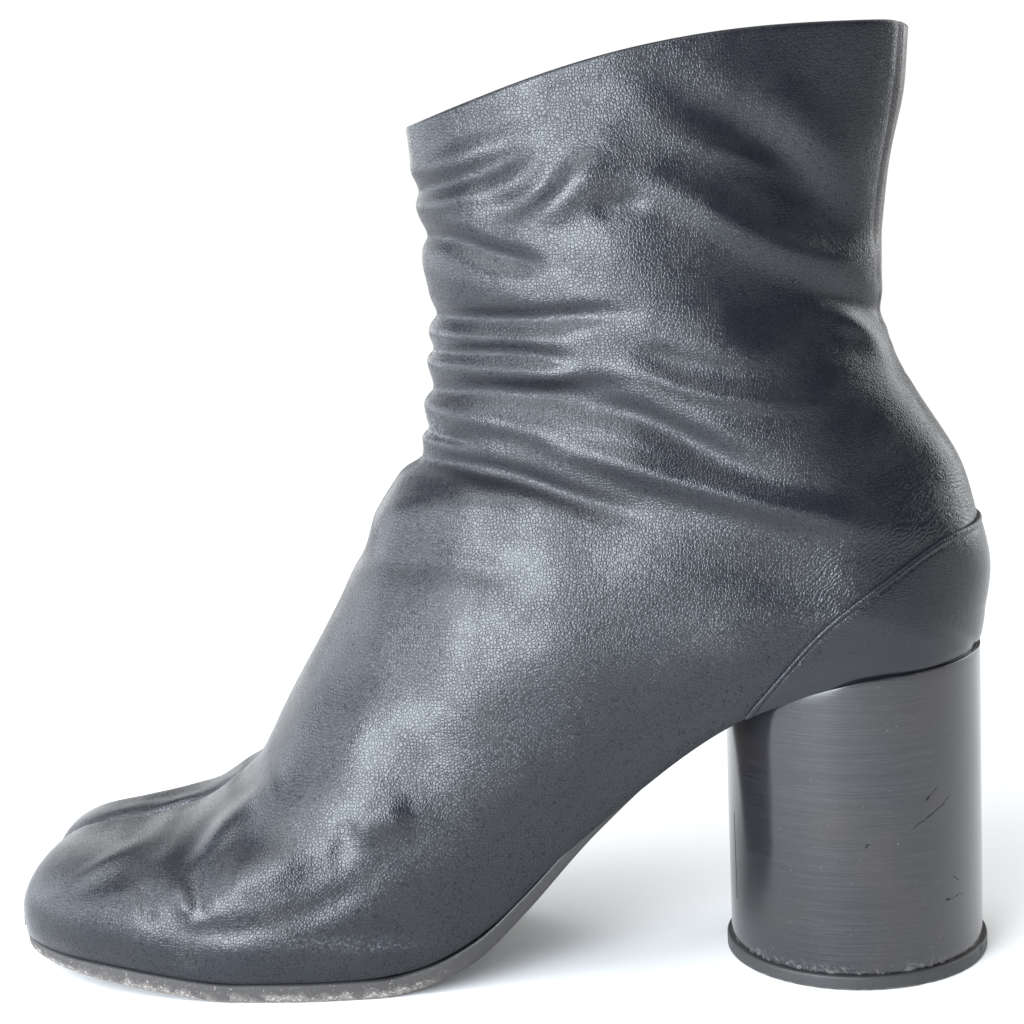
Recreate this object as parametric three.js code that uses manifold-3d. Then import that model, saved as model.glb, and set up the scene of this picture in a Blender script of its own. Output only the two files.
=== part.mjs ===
// Heeled ankle boot with a split toe, for the left foot. Millimetres, +Z up, toe towards -X,
// lateral side at -Y. The origin is the centre of the heel lift's face on the ground.
import * as THREE from "three";
import { mergeVertices } from "three/addons/utils/BufferGeometryUtils.js";
import Module from "manifold-3d";

const wasm = await Module();
wasm.setup();

// Driving dimensions of the foot
const shoeLength = 233.5;
const seatBack = 29.2;
const seatHeight = 77;
const notchHeight = 125;
const ballHalfLateral = 37.5;
const ballHalfMedial = 39.5;
const cleftOffset = 7;
const toeGap = 2;
const toeCrown = 11;

// Driving dimensions of the shaft
const collarBackHeight = 218.8;
const collarFrontHeight = 199.6;
const collarHalfWidth = 24;
const collarArch = 7;

// Leather, sole and heel
const upperWall = 1.5;
const counterWall = 1.2;
const counterReach = 53;
const counterRise = 28.5;
const soleThickness = 4.6;
const soleEdge = 0.5;
const insoleThickness = 2;
const heelRadius = 30.15;
const liftRadius = 31.3;
const liftHeight = 3.3;
const liftChamfer = 0.5;
const seam = 0.3;

// Sections of the foot from the toe's tip to the back of the heel seat. Lengths along the shoe are
// shares of shoeLength, lateral and full widths of each side are shares of its ball half width,
// heights are shares of notchHeight, and mid, open and crown are shares of cleftOffset, half of
// toeGap and toeCrown. Widest and cleft are shares of the section's own height.
const footColumns = ["along", "lateral", "medial", "fullLateral", "fullMedial", "topAlong", "topHeight",
  "mid", "open", "crown", "widest", "cleft", "round"];
const footTable = [
  [0.000, 0.250, 0.580, 0.268, 0.600, -0.001, 0.112, 1.00, 11.5, 0.20, 0.42, 1.000, 0.85],
  [0.005, 0.350, 0.640, 0.370, 0.660, 0.001, 0.140, 1.00, 8.80, 0.50, 0.40, 1.000, 0.85],
  [0.015, 0.460, 0.700, 0.482, 0.722, 0.009, 0.172, 1.00, 6.00, 0.72, 0.37, 1.000, 0.83],
  [0.034, 0.580, 0.768, 0.604, 0.790, 0.025, 0.206, 1.00, 3.60, 0.90, 0.33, 1.000, 0.83],
  [0.065, 0.710, 0.838, 0.735, 0.860, 0.055, 0.236, 1.00, 2.00, 0.99, 0.30, 1.000, 0.88],
  [0.113, 0.845, 0.902, 0.872, 0.926, 0.104, 0.260, 1.00, 1.20, 1.00, 0.28, 1.000, 0.92],
  [0.164, 0.935, 0.951, 0.964, 0.977, 0.151, 0.278, 1.00, 1.00, 1.00, 0.27, 1.000, 0.95],
  [0.211, 0.981, 0.985, 1.012, 1.010, 0.188, 0.302, 1.00, 0.00, 0.86, 0.27, 1.000, 0.97],
  [0.254, 1.000, 1.000, 1.035, 1.028, 0.224, 0.348, 1.00, 0.00, 0.47, 0.26, 0.100, 1.00],
  [0.310, 0.995, 0.987, 1.030, 1.020, 0.254, 0.393, 0.90, 0.00, 0.24, 0.25, 0.020, 1.00],
  [0.370, 0.955, 0.919, 1.000, 0.975, 0.280, 0.476, 0.75, 0.00, 0.15, 0.24, 0.012, 1.00],
  [0.434, 0.880, 0.797, 0.950, 0.905, 0.312, 0.580, 0.60, 0.00, 0.15, 0.24, 0.010, 1.00],
  [0.507, 0.784, 0.641, 0.890, 0.835, 0.343, 0.684, 0.45, 0.00, 0.15, 0.26, 0.010, 1.02],
  [0.584, 0.715, 0.537, 0.840, 0.780, 0.373, 0.780, 0.30, 0.00, 0.15, 0.29, 0.009, 1.04],
  [0.669, 0.699, 0.542, 0.827, 0.760, 0.393, 0.860, 0.20, 0.00, 0.15, 0.31, 0.008, 1.06],
  [0.759, 0.739, 0.643, 0.827, 0.772, 0.412, 0.930, 0.12, 0.00, 0.15, 0.30, 0.007, 1.06],
  [0.845, 0.781, 0.734, 0.840, 0.785, 0.434, 0.978, 0.05, 0.00, 0.15, 0.27, 0.006, 1.06],
  [0.918, 0.739, 0.701, 0.840, 0.790, 0.449, 1.020, 0.00, 0.00, 0.15, 0.24, 0.006, 1.05],
  [0.969, 0.535, 0.506, 0.835, 0.785, 0.456, 1.064, 0.00, 0.00, 0.15, 0.22, 0.005, 1.05],
  [0.993, 0.280, 0.263, 0.827, 0.780, 0.459, 1.112, 0.00, 0.00, 0.15, 0.235, 0.005, 1.05],
  [1.000, 0.000, 0.000, 0.820, 0.775, 0.462, 1.164, 0.00, 0.00, 0.15, 0.25, 0.005, 1.05],
];

// Sections of the heel cup and the shaft up to the collar. The back and front points are shares of
// shoeLength from the seat's back and the toe's tip, and of the heights from the seat and the notch
// up to the collar. Half is a share of collarHalfWidth, and arch of collarArch.
const shaftColumns = ["backAlong", "backRise", "topAlong", "frontRise", "half", "widest", "arch", "round"];
const shaftTable = [
  [0.0103, 0.071, 0.463, 0.362, 1.283, 0.285, 0.00, 1.05],
  [0.0128, 0.127, 0.463, 0.442, 1.275, 0.32, 0.00, 1.05],
  [0.0034, 0.197, 0.461, 0.523, 1.250, 0.36, 0.05, 1.06],
  [-0.015, 0.289, 0.459, 0.603, 1.217, 0.39, 0.12, 1.07],
  [-0.052, 0.402, 0.457, 0.684, 1.175, 0.42, 0.25, 1.08],
  [-0.084, 0.494, 0.455, 0.764, 1.133, 0.45, 0.40, 1.09],
  [-0.088, 0.620, 0.453, 0.831, 1.092, 0.47, 0.55, 1.10],
  [-0.083, 0.748, 0.452, 0.885, 1.054, 0.48, 0.70, 1.10],
  [-0.068, 0.867, 0.450, 0.938, 1.025, 0.49, 0.85, 1.10],
  [-0.060, 1.000, 0.448, 1.000, 1.000, 0.50, 1.00, 1.10],
];

// The sole's underside along the shoe, as shares of seatHeight, and its upright thickness, as
// shares of soleThickness. It is flat where the forefoot stands.
const profileColumns = ["along", "under", "thick"];
const profileTable = [
  [0.000, 0.068, 0.72],
  [0.053, 0.055, 0.78],
  [0.121, 0.038, 0.93],
  [0.172, 0.021, 0.98],
  [0.245, 0.000, 1.00],
  [0.395, 0.000, 1.00],
  [0.443, 0.026, 1.02],
  [0.489, 0.090, 1.05],
  [0.541, 0.234, 0.95],
  [0.616, 0.480, 0.78],
  [0.714, 0.742, 0.62],
  [0.789, 0.869, 0.46],
  [0.892, 0.958, 0.40],
  [1.000, 0.980, 0.40],
];

const webRow = 7;
const seatRow = footTable.length - 1;
const collarRow = seatRow + shaftTable.length;
const grooveShare = 0.005;
const counterRows = [13, 26];
const lowerShare = 0.25;
const upperShare = 0.75;
const lowerColumns = 4;
const upperColumns = 5;
const cleftColumns = 3;
const cleftPowerShare = 0.65;
const steepestShare = 0.985;
const cutBeyond = 4;

const toeTip = seatBack - shoeLength;
const named = (names, row) => Object.fromEntries(names.map((name, k) => [name, row[k]]));

// A smooth curve through the values of one column that never overshoots them.
function monotone(xs, ys) {
  const slope = xs.slice(1).map((x, k) => (ys[k + 1] - ys[k]) / (x - xs[k]));
  const bend = xs.map((x, k) => {
    if (k === 0) return slope[0];
    if (k === xs.length - 1) return slope[k - 1];
    const [before, after] = [slope[k - 1], slope[k]];
    return before * after <= 0 ? 0 : (2 * before * after) / (before + after);
  });
  return (x) => {
    const at = Math.min(Math.max(x, xs[0]), xs[xs.length - 1]);
    let k = 0;
    while (k < xs.length - 2 && at > xs[k + 1]) k += 1;
    const width = xs[k + 1] - xs[k];
    const t = (at - xs[k]) / width;
    const [t2, t3] = [t * t, t * t * t];
    return (2 * t3 - 3 * t2 + 1) * ys[k] + (t3 - 2 * t2 + t) * width * bend[k]
      + (3 * t2 - 2 * t3) * ys[k + 1] + (t3 - t2) * width * bend[k + 1];
  };
}

const profileRows = profileTable.map((row) => named(profileColumns, row));
const profileAlong = profileRows.map((row) => toeTip + row.along * shoeLength);
const underside = monotone(profileAlong, profileRows.map((row) => row.under * seatHeight));
const thickness = monotone(profileAlong, profileRows.map((row) => row.thick * soleThickness));
const soleTop = (x) => underside(x) + thickness(x);
const feather = (x) => soleTop(x) + seam;

// Each section in millimetres: its bottom or back point, its top or front point and its widths.
function footSection(row) {
  const x = toeTip + row.along * shoeLength;
  return {
    backX: x, backZ: feather(x),
    topX: toeTip + row.topAlong * shoeLength, topZ: row.topHeight * notchHeight,
    lateral: row.lateral * ballHalfLateral, medial: row.medial * ballHalfMedial,
    fullLateral: row.fullLateral * ballHalfLateral, fullMedial: row.fullMedial * ballHalfMedial,
    mid: row.mid * cleftOffset, open: row.open * toeGap / 2, crown: row.crown * toeCrown,
    widest: row.widest, cleft: row.cleft, arch: 0, round: row.round,
  };
}

function shaftSection(row) {
  const foot = named(footColumns, footTable[seatRow]);
  return {
    backX: seatBack + row.backAlong * shoeLength,
    backZ: feather(seatBack) + row.backRise * (collarBackHeight - feather(seatBack)),
    topX: toeTip + row.topAlong * shoeLength,
    topZ: notchHeight + row.frontRise * (collarFrontHeight - notchHeight),
    lateral: 0, medial: 0,
    fullLateral: row.half * collarHalfWidth, fullMedial: row.half * collarHalfWidth,
    mid: 0, open: 0, crown: foot.crown * toeCrown,
    widest: row.widest, cleft: grooveShare, arch: row.arch * collarArch, round: row.round,
  };
}

const sections = footTable.map((row) => footSection(named(footColumns, row)))
  .concat(shaftTable.map((row) => shaftSection(named(shaftColumns, row))));
const rowNumbers = sections.map((section, k) => k);
const curves = Object.fromEntries(Object.keys(sections[0]).map((key) =>
  [key, monotone(rowNumbers, sections.map((section) => section[key]))]));
const sectionAt = (row) => Object.fromEntries(Object.keys(curves).map((key) => [key, curves[key](row)]));

const power = (value, exponent) => Math.pow(Math.max(value, 0), exponent);

// A point of the upper's outer face. Row runs from the toe to the collar, and share from the outer
// feather edge, or the back seam, over the side and the top to the cleft or the centre seam.
function skinPoint(row, side, share) {
  const s = sectionAt(row);
  const full = side < 0 ? s.fullLateral + s.mid : s.fullMedial - s.mid;
  const edge = side < 0 ? s.lateral + s.mid : s.medial - s.mid;
  const crown = s.open + s.crown;
  let out = 0;
  let rise = 0;
  if (share <= lowerShare) {
    const start = Math.asin(Math.min(edge / full, steepestShare));
    const angle = start + (Math.PI / 2 - start) * share / lowerShare;
    out = full * Math.sin(angle) * (edge === 0 ? 1 : edge / (full * Math.sin(start))) ** (1 - share / lowerShare);
    rise = s.widest * (1 - Math.cos(angle) / Math.cos(start));
  } else if (share <= upperShare) {
    const angle = (Math.PI / 2) * (share - lowerShare) / (upperShare - lowerShare);
    out = crown + (full - crown) * power(Math.cos(angle), s.round);
    rise = s.widest + (1 - s.widest) * power(Math.sin(angle), s.round);
  } else {
    const angle = (Math.PI / 2) * (share - upperShare) / (1 - upperShare);
    out = crown - (crown - s.open) * power(Math.sin(angle), cleftPowerShare);
    rise = 1 - s.cleft * (1 - power(Math.cos(angle), cleftPowerShare));
  }
  return new THREE.Vector3(
    s.backX + (s.topX - s.backX) * rise,
    s.mid + side * out,
    s.backZ + (s.topZ - s.backZ) * rise + s.arch * Math.sin(Math.PI * rise),
  );
}

function skinNormal(row, side, share) {
  const [rowStep, shareStep] = [0.08, 0.03];
  const rowSpan = skinPoint(Math.min(row + rowStep, collarRow), side, share)
    .sub(skinPoint(Math.max(row - rowStep, 0), side, share));
  const shareSpan = skinPoint(row, side, Math.min(share + shareStep, 1))
    .sub(skinPoint(row, side, Math.max(share - shareStep, 0)));
  return shareSpan.cross(rowSpan).multiplyScalar(side).normalize();
}

// The same face moved outwards by skin, or inwards where skin is below zero. Points on the seams
// stay in the middle plane, and the feather edge moves level.
function offsetPoint(row, side, share, skin) {
  const point = skinPoint(row, side, share);
  if (skin === 0) return point;
  const normal = skinNormal(row, side, share);
  if ((share === 1 && row >= webRow) || (share === 0 && row >= seatRow)) {
    normal.add(skinNormal(row, -side, share)).setY(0);
  }
  normal.setZ(normal.z * Math.min(Math.max(share / lowerShare, row - seatRow), 1));
  return point.addScaledVector(normal.normalize(), skin);
}

// Rows of the mesh, closer together at the toe's tip, at the web between the toes and round the
// back of the heel seat.
function meshRows(from, to) {
  const rowSteps = { close: 0.25, foot: 0.5, shaft: 1 };
  const closeRows = [[0, 2], [webRow - 0.5, webRow + 1.5], [seatRow - 2, seatRow + 1]];
  const rows = [];
  for (let row = from; row < to;) {
    rows.push(row);
    const close = closeRows.some(([first, last]) => row >= first && row < last);
    if (close) row += rowSteps.close;
    else row += row < seatRow ? rowSteps.foot : rowSteps.shaft;
  }
  return [...rows, to];
}

const spread = (from, to, count) => Array.from({ length: count }, (_, k) => from + (to - from) * k / count);
const shares = [
  ...spread(0, lowerShare, lowerColumns),
  ...spread(lowerShare, upperShare, upperColumns),
  ...spread(upperShare, 1, cleftColumns),
  1,
];
const columns = shares.length - 1;

class Faces {
  constructor() {
    this.points = [];
  }

  triangle(a, b, c) {
    this.points.push(a, b, c);
  }

  // Four corners as two triangles, which meet along the shorter diagonal unless cross says which.
  quad(a, b, c, d, cross = a.distanceTo(c) > b.distanceTo(d)) {
    if (cross) {
      this.triangle(a, b, d);
      this.triangle(b, c, d);
    } else {
      this.triangle(a, b, c);
      this.triangle(a, c, d);
    }
  }

  // A fan that closes a loop of edges which the neighbouring faces run through the same way.
  cap(loop, centre) {
    loop.forEach((point, k) => this.triangle(centre, loop[(k + 1) % loop.length], point));
  }

  solid() {
    const flat = this.points.flatMap((point) => [point.x, point.y, point.z]);
    const geometry = new THREE.BufferGeometry();
    geometry.setAttribute("position", new THREE.Float32BufferAttribute(flat, 3));
    return manifoldOf(geometry);
  }
}

function manifoldOf(geometry) {
  const loose = geometry.clone();
  loose.deleteAttribute("normal");
  loose.deleteAttribute("uv");
  const merged = mergeVertices(loose, 1e-3);
  const index = merged.index.array;
  const kept = [];
  for (let k = 0; k < index.length; k += 3) {
    const [a, b, c] = [index[k], index[k + 1], index[k + 2]];
    if (a !== b && b !== c && c !== a) kept.push(a, b, c);
  }
  const vertProperties = new Float32Array(merged.getAttribute("position").array);
  return new wasm.Manifold(new wasm.Mesh({ numProp: 3, vertProperties, triVerts: new Uint32Array(kept) }));
}

function geometryOf(solid) {
  const mesh = solid.getMesh();
  const geometry = new THREE.BufferGeometry();
  geometry.setAttribute("position", new THREE.BufferAttribute(new Float32Array(mesh.vertProperties), 3));
  geometry.setIndex(new THREE.BufferAttribute(new Uint32Array(mesh.triVerts), 1));
  geometry.computeVertexNormals();
  return geometry;
}

// Whether a cell of the skin's mesh is split from its second corner to its fourth, whatever the skin.
function crossed(row, nextRow, share, nextShare, side) {
  const straight = skinPoint(row, side, share).distanceTo(skinPoint(nextRow, side, nextShare));
  return straight > skinPoint(row, side, nextShare).distanceTo(skinPoint(nextRow, side, share));
}

const middleOf = (points) => points.reduce((sum, point) => sum.add(point), new THREE.Vector3())
  .divideScalar(points.length);

// The upper's form as one filled solid between two rows, with its faces moved outwards by skin. Drop
// lengthens it below the feather edge, and rise above the last row.
function formSolid({ skin, from, to, drop, rise }) {
  const faces = new Faces();
  const rows = meshRows(from, to);
  const grid = Object.fromEntries([-1, 1].map((side) =>
    [side, rows.map((row) => shares.map((share) => offsetPoint(row, side, share, skin)))]));
  const down = (point) => point.clone().setZ(point.z - drop);
  const outer = (k, side) => down(grid[side][k][0]);
  const inner = (k, side) => {
    if (rows[k] <= webRow) return down(grid[side][k][columns]);
    if (rows[k] >= seatRow) return outer(k, side);
    const s = sectionAt(rows[k]);
    return new THREE.Vector3(s.backX, s.mid, s.backZ - drop);
  };
  for (const side of [-1, 1]) {
    const lay = (a, b, c, d) => (side > 0 ? faces.quad(a, b, c, d) : faces.quad(d, c, b, a));
    for (let k = 0; k + 1 < rows.length; k += 1) {
      const [here, next] = [grid[side][k], grid[side][k + 1]];
      for (let j = 0; j < columns; j += 1) {
        const cross = crossed(rows[k], rows[k + 1], shares[j], shares[j + 1], side);
        if (side > 0) faces.quad(here[j], here[j + 1], next[j + 1], next[j], cross);
        else faces.quad(here[j], next[j], next[j + 1], here[j + 1], cross);
      }
      if (rows[k + 1] <= seatRow) {
        lay(here[0], next[0], outer(k + 1, side), outer(k, side));
        lay(outer(k, side), outer(k + 1, side), inner(k + 1, side), inner(k, side));
      }
      if (rows[k + 1] <= webRow) {
        lay(next[columns], here[columns], inner(k, side), inner(k + 1, side));
      }
    }
  }
  const first = (side) => grid[side][0];
  const last = (side) => grid[side][rows.length - 1];
  if (from === 0) {
    for (const side of [-1, 1]) {
      const loop = [...first(side), inner(0, side), outer(0, side)];
      faces.cap(side > 0 ? loop : loop.reverse(), middleOf(first(side)));
    }
  } else {
    const loop = [...first(1), ...[...first(-1)].reverse(), outer(0, -1), inner(0, 1), outer(0, 1)];
    faces.cap(loop, middleOf(loop));
  }
  const up = (point) => point.clone().setZ(point.z + rise);
  const rim = [...last(-1), ...[...last(1)].reverse()];
  rim.forEach((point, k) => {
    const after = rim[(k + 1) % rim.length];
    faces.quad(after, point, up(point), up(after));
  });
  const raised = rim.map(up);
  faces.cap(raised, middleOf(raised));
  return faces.solid();
}

function upperGeometry() {
  const outside = formSolid({ skin: 0, from: 0, to: collarRow, drop: 0, rise: 0 });
  const inside = formSolid({ skin: -upperWall, from: 0, to: collarRow, drop: cutBeyond, rise: cutBeyond });
  return geometryOf(outside.subtract(inside));
}

// The panel over the heel, below a seam that climbs from the arch and levels out at the back.
function counterGeometry() {
  const [climbEnd, climbRise, bendAt] = [0.62, 0.8, 0.78];
  const footSteps = 16;
  const [from, to] = counterRows;
  const outside = formSolid({ skin: seam + counterWall, from, to, drop: cutBeyond, rise: 0 });
  const inside = formSolid({ skin: seam, from, to, drop: 2 * cutBeyond, rise: cutBeyond });
  const shell = outside.subtract(inside);
  const front = seatBack - counterReach;
  const top = feather(seatBack) + counterRise;
  const foot = feather(front);
  const past = seatBack + counterReach;
  const outline = new THREE.Shape();
  outline.moveTo(front, foot);
  outline.lineTo(front + counterReach * climbEnd, foot + (top - foot) * climbRise);
  outline.quadraticCurveTo(front + counterReach * bendAt, top, seatBack, top);
  outline.lineTo(past, top);
  for (let k = 0; k < footSteps; k += 1) {
    const x = past + (front - past) * k / footSteps;
    outline.lineTo(x, feather(x) + seam);
  }
  const depth = 4 * liftRadius;
  const block = new THREE.ExtrudeGeometry(outline, { depth, bevelEnabled: false, curveSegments: 8 });
  block.rotateX(Math.PI / 2);
  block.translate(0, depth / 2, 0);
  return geometryOf(shell.intersect(manifoldOf(block)));
}

// A layer that lies along the feather line: its outline is the form's edge moved outwards by skin,
// and over and under give its heights at each place along the shoe.
function layerSolid({ skin, over, under }) {
  const faces = new Faces();
  const rows = meshRows(0, seatRow);
  const strip = Object.fromEntries([-1, 1].map((side) => [side, rows.map((row) => {
    const s = sectionAt(row);
    const edge = offsetPoint(row, side, 0, skin);
    const outer = new THREE.Vector2(edge.x, edge.y);
    if (row >= seatRow) return { outer, inner: outer };
    const tip = row < 1 ? outer.x : s.backX;
    return { outer, inner: new THREE.Vector2(tip, s.mid + side * s.open) };
  })]));
  const raise = (point, height) => new THREE.Vector3(point.x, point.y, height(point.x));
  for (const side of [-1, 1]) {
    const lay = (a, b, c, d) => (side > 0 ? faces.quad(a, b, c, d) : faces.quad(d, c, b, a));
    strip[side].forEach((here, k) => {
      const next = strip[side][k + 1];
      if (!next) return;
      const [a, b, c, d] = [here.outer, here.inner, next.inner, next.outer];
      lay(raise(a, over), raise(b, over), raise(c, over), raise(d, over));
      lay(raise(d, under), raise(c, under), raise(b, under), raise(a, under));
      lay(raise(a, under), raise(a, over), raise(d, over), raise(d, under));
      if (rows[k + 1] <= webRow) lay(raise(b, over), raise(b, under), raise(c, under), raise(c, over));
    });
    const tip = strip[side][0];
    lay(raise(tip.inner, over), raise(tip.outer, over), raise(tip.outer, under), raise(tip.inner, under));
  }
  return faces.solid();
}

function outsoleGeometry() {
  return geometryOf(layerSolid({ skin: soleEdge, over: soleTop, under: underside }));
}

// The footbed: the lowest slice of the space inside the upper.
function insoleGeometry() {
  const inside = formSolid({ skin: -(upperWall + seam), from: 0, to: collarRow, drop: cutBeyond, rise: 0 });
  const slice = layerSolid({ skin: 0, over: (x) => feather(x) + insoleThickness, under: feather });
  return geometryOf(inside.intersect(slice));
}

// A round block whose top follows a height along the shoe.
function blockGeometry(radius, bottom, topAt) {
  const faces = new Faces();
  const steps = 32;
  const across = Array.from({ length: steps + 1 }, (_, k) => {
    const angle = Math.PI * (1 - k / steps);
    return { x: radius * Math.cos(angle), y: k % steps === 0 ? 0 : radius * Math.sin(angle) };
  });
  const at = (place, side, z) => new THREE.Vector3(place.x, side * place.y, z);
  for (let k = 0; k < steps; k += 1) {
    const [a, b] = [across[k], across[k + 1]];
    const [za, zb] = [topAt(a.x), topAt(b.x)];
    faces.quad(at(a, -1, bottom), at(b, -1, bottom), at(b, -1, zb), at(a, -1, za));
    faces.quad(at(b, 1, bottom), at(a, 1, bottom), at(a, 1, za), at(b, 1, zb));
    faces.quad(at(a, -1, za), at(b, -1, zb), at(b, 1, zb), at(a, 1, za));
    faces.quad(at(a, 1, bottom), at(b, 1, bottom), at(b, -1, bottom), at(a, -1, bottom));
  }
  return geometryOf(faces.solid());
}

function liftGeometry() {
  const profile = [[0, 0], [liftRadius - liftChamfer, 0], [liftRadius, liftChamfer],
    [liftRadius, liftHeight], [0, liftHeight]].map(([r, z]) => new THREE.Vector2(r, z));
  const lift = new THREE.LatheGeometry(profile, 48);
  lift.rotateX(Math.PI / 2);
  return geometryOf(manifoldOf(lift));
}

function leather(color, roughness) {
  return new THREE.MeshStandardMaterial({ color, roughness, metalness: 0 });
}

const boot = new THREE.Group();
boot.name = "split_toe_boot";

function add(name, geometry, material) {
  const mesh = new THREE.Mesh(geometry, material);
  mesh.name = name;
  boot.add(mesh);
}

add("upper", upperGeometry(), leather(0x3a3e4b, 0.45));
add("heel_counter", counterGeometry(), leather(0x3c404c, 0.42));
add("outsole", outsoleGeometry(), leather(0x8d8781, 0.8));
add("insole", insoleGeometry(), leather(0xb59f80, 0.75));
add("heel_block", blockGeometry(heelRadius, liftHeight + seam, (x) => underside(x) - seam), leather(0x34363c, 0.3));
add("heel_lift", liftGeometry(), leather(0x3a3b40, 0.6));

export default boot;
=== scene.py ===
# A split-toe heeled ankle boot of dark grained leather, for the left foot: its finish and its folds,
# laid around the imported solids. Shapes are worked out in millimetres and handed over in metres.
import math

import bmesh
import bpy
import numpy as np
from mathutils import Matrix, Vector
from mathutils.bvhtree import BVHTree


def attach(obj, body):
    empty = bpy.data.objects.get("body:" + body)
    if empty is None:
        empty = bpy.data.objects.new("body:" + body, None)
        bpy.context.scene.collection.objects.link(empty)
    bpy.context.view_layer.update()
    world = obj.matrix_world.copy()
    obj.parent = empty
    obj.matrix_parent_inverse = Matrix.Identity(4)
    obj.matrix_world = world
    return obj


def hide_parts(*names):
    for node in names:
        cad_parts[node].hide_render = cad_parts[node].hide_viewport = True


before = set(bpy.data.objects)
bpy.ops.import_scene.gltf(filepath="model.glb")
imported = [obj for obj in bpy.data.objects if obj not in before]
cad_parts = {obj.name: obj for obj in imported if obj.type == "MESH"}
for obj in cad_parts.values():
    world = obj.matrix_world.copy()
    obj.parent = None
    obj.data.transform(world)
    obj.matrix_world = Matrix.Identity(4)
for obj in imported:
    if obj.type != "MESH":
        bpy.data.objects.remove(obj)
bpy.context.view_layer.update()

MM = 0.001

# Driving dimensions of the form, the same as the solids', in millimetres.
SHOE_LENGTH = 233.5
SEAT_BACK = 29.2
SEAT_HEIGHT = 77.0
NOTCH_HEIGHT = 125.0
BALL_HALF_LATERAL = 37.5
BALL_HALF_MEDIAL = 39.5
CLEFT_OFFSET = 7.0
TOE_GAP = 2.0
TOE_CROWN = 11.0
COLLAR_BACK_HEIGHT = 218.8
COLLAR_FRONT_HEIGHT = 199.6
COLLAR_HALF_WIDTH = 24.0
COLLAR_ARCH = 7.0
SOLE_THICKNESS = 4.6
SOLE_EDGE = 0.5
INSOLE_THICKNESS = 2.0
UPPER_WALL = 1.5
COUNTER_REACH = 53.0
COUNTER_RISE = 28.5
HEEL_RADIUS = 30.15
LIFT_RADIUS = 31.3
LIFT_HEIGHT = 3.3
SEAM = 0.3
TOE_TIP = SEAT_BACK - SHOE_LENGTH

# Sections of the foot from the toe's tip to the back of the heel seat, in the same shares as the
# solids': along the shoe, widths of its ball, heights of the front notch.
FOOT_COLUMNS = ("along lateral medial full_lateral full_medial top_along top_height "
                "mid open crown widest cleft round").split()
FOOT_TABLE = [
    [0.000, 0.250, 0.580, 0.268, 0.600, -0.001, 0.112, 1.00, 11.5, 0.20, 0.42, 1.000, 0.85],
    [0.005, 0.350, 0.640, 0.370, 0.660, 0.001, 0.140, 1.00, 8.80, 0.50, 0.40, 1.000, 0.85],
    [0.015, 0.460, 0.700, 0.482, 0.722, 0.009, 0.172, 1.00, 6.00, 0.72, 0.37, 1.000, 0.83],
    [0.034, 0.580, 0.768, 0.604, 0.790, 0.025, 0.206, 1.00, 3.60, 0.90, 0.33, 1.000, 0.83],
    [0.065, 0.710, 0.838, 0.735, 0.860, 0.055, 0.236, 1.00, 2.00, 0.99, 0.30, 1.000, 0.88],
    [0.113, 0.845, 0.902, 0.872, 0.926, 0.104, 0.260, 1.00, 1.20, 1.00, 0.28, 1.000, 0.92],
    [0.164, 0.935, 0.951, 0.964, 0.977, 0.151, 0.278, 1.00, 1.00, 1.00, 0.27, 1.000, 0.95],
    [0.211, 0.981, 0.985, 1.012, 1.010, 0.188, 0.302, 1.00, 0.00, 0.86, 0.27, 1.000, 0.97],
    [0.254, 1.000, 1.000, 1.035, 1.028, 0.224, 0.348, 1.00, 0.00, 0.47, 0.26, 0.100, 1.00],
    [0.310, 0.995, 0.987, 1.030, 1.020, 0.254, 0.393, 0.90, 0.00, 0.24, 0.25, 0.020, 1.00],
    [0.370, 0.955, 0.919, 1.000, 0.975, 0.280, 0.476, 0.75, 0.00, 0.15, 0.24, 0.012, 1.00],
    [0.434, 0.880, 0.797, 0.950, 0.905, 0.312, 0.580, 0.60, 0.00, 0.15, 0.24, 0.010, 1.00],
    [0.507, 0.784, 0.641, 0.890, 0.835, 0.343, 0.684, 0.45, 0.00, 0.15, 0.26, 0.010, 1.02],
    [0.584, 0.715, 0.537, 0.840, 0.780, 0.373, 0.780, 0.30, 0.00, 0.15, 0.29, 0.009, 1.04],
    [0.669, 0.699, 0.542, 0.827, 0.760, 0.393, 0.860, 0.20, 0.00, 0.15, 0.31, 0.008, 1.06],
    [0.759, 0.739, 0.643, 0.827, 0.772, 0.412, 0.930, 0.12, 0.00, 0.15, 0.30, 0.007, 1.06],
    [0.845, 0.781, 0.734, 0.840, 0.785, 0.434, 0.978, 0.05, 0.00, 0.15, 0.27, 0.006, 1.06],
    [0.918, 0.739, 0.701, 0.840, 0.790, 0.449, 1.020, 0.00, 0.00, 0.15, 0.24, 0.006, 1.05],
    [0.969, 0.535, 0.506, 0.835, 0.785, 0.456, 1.064, 0.00, 0.00, 0.15, 0.22, 0.005, 1.05],
    [0.993, 0.280, 0.263, 0.827, 0.780, 0.459, 1.112, 0.00, 0.00, 0.15, 0.235, 0.005, 1.05],
    [1.000, 0.000, 0.000, 0.820, 0.775, 0.462, 1.164, 0.00, 0.00, 0.15, 0.25, 0.005, 1.05],
]

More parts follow.
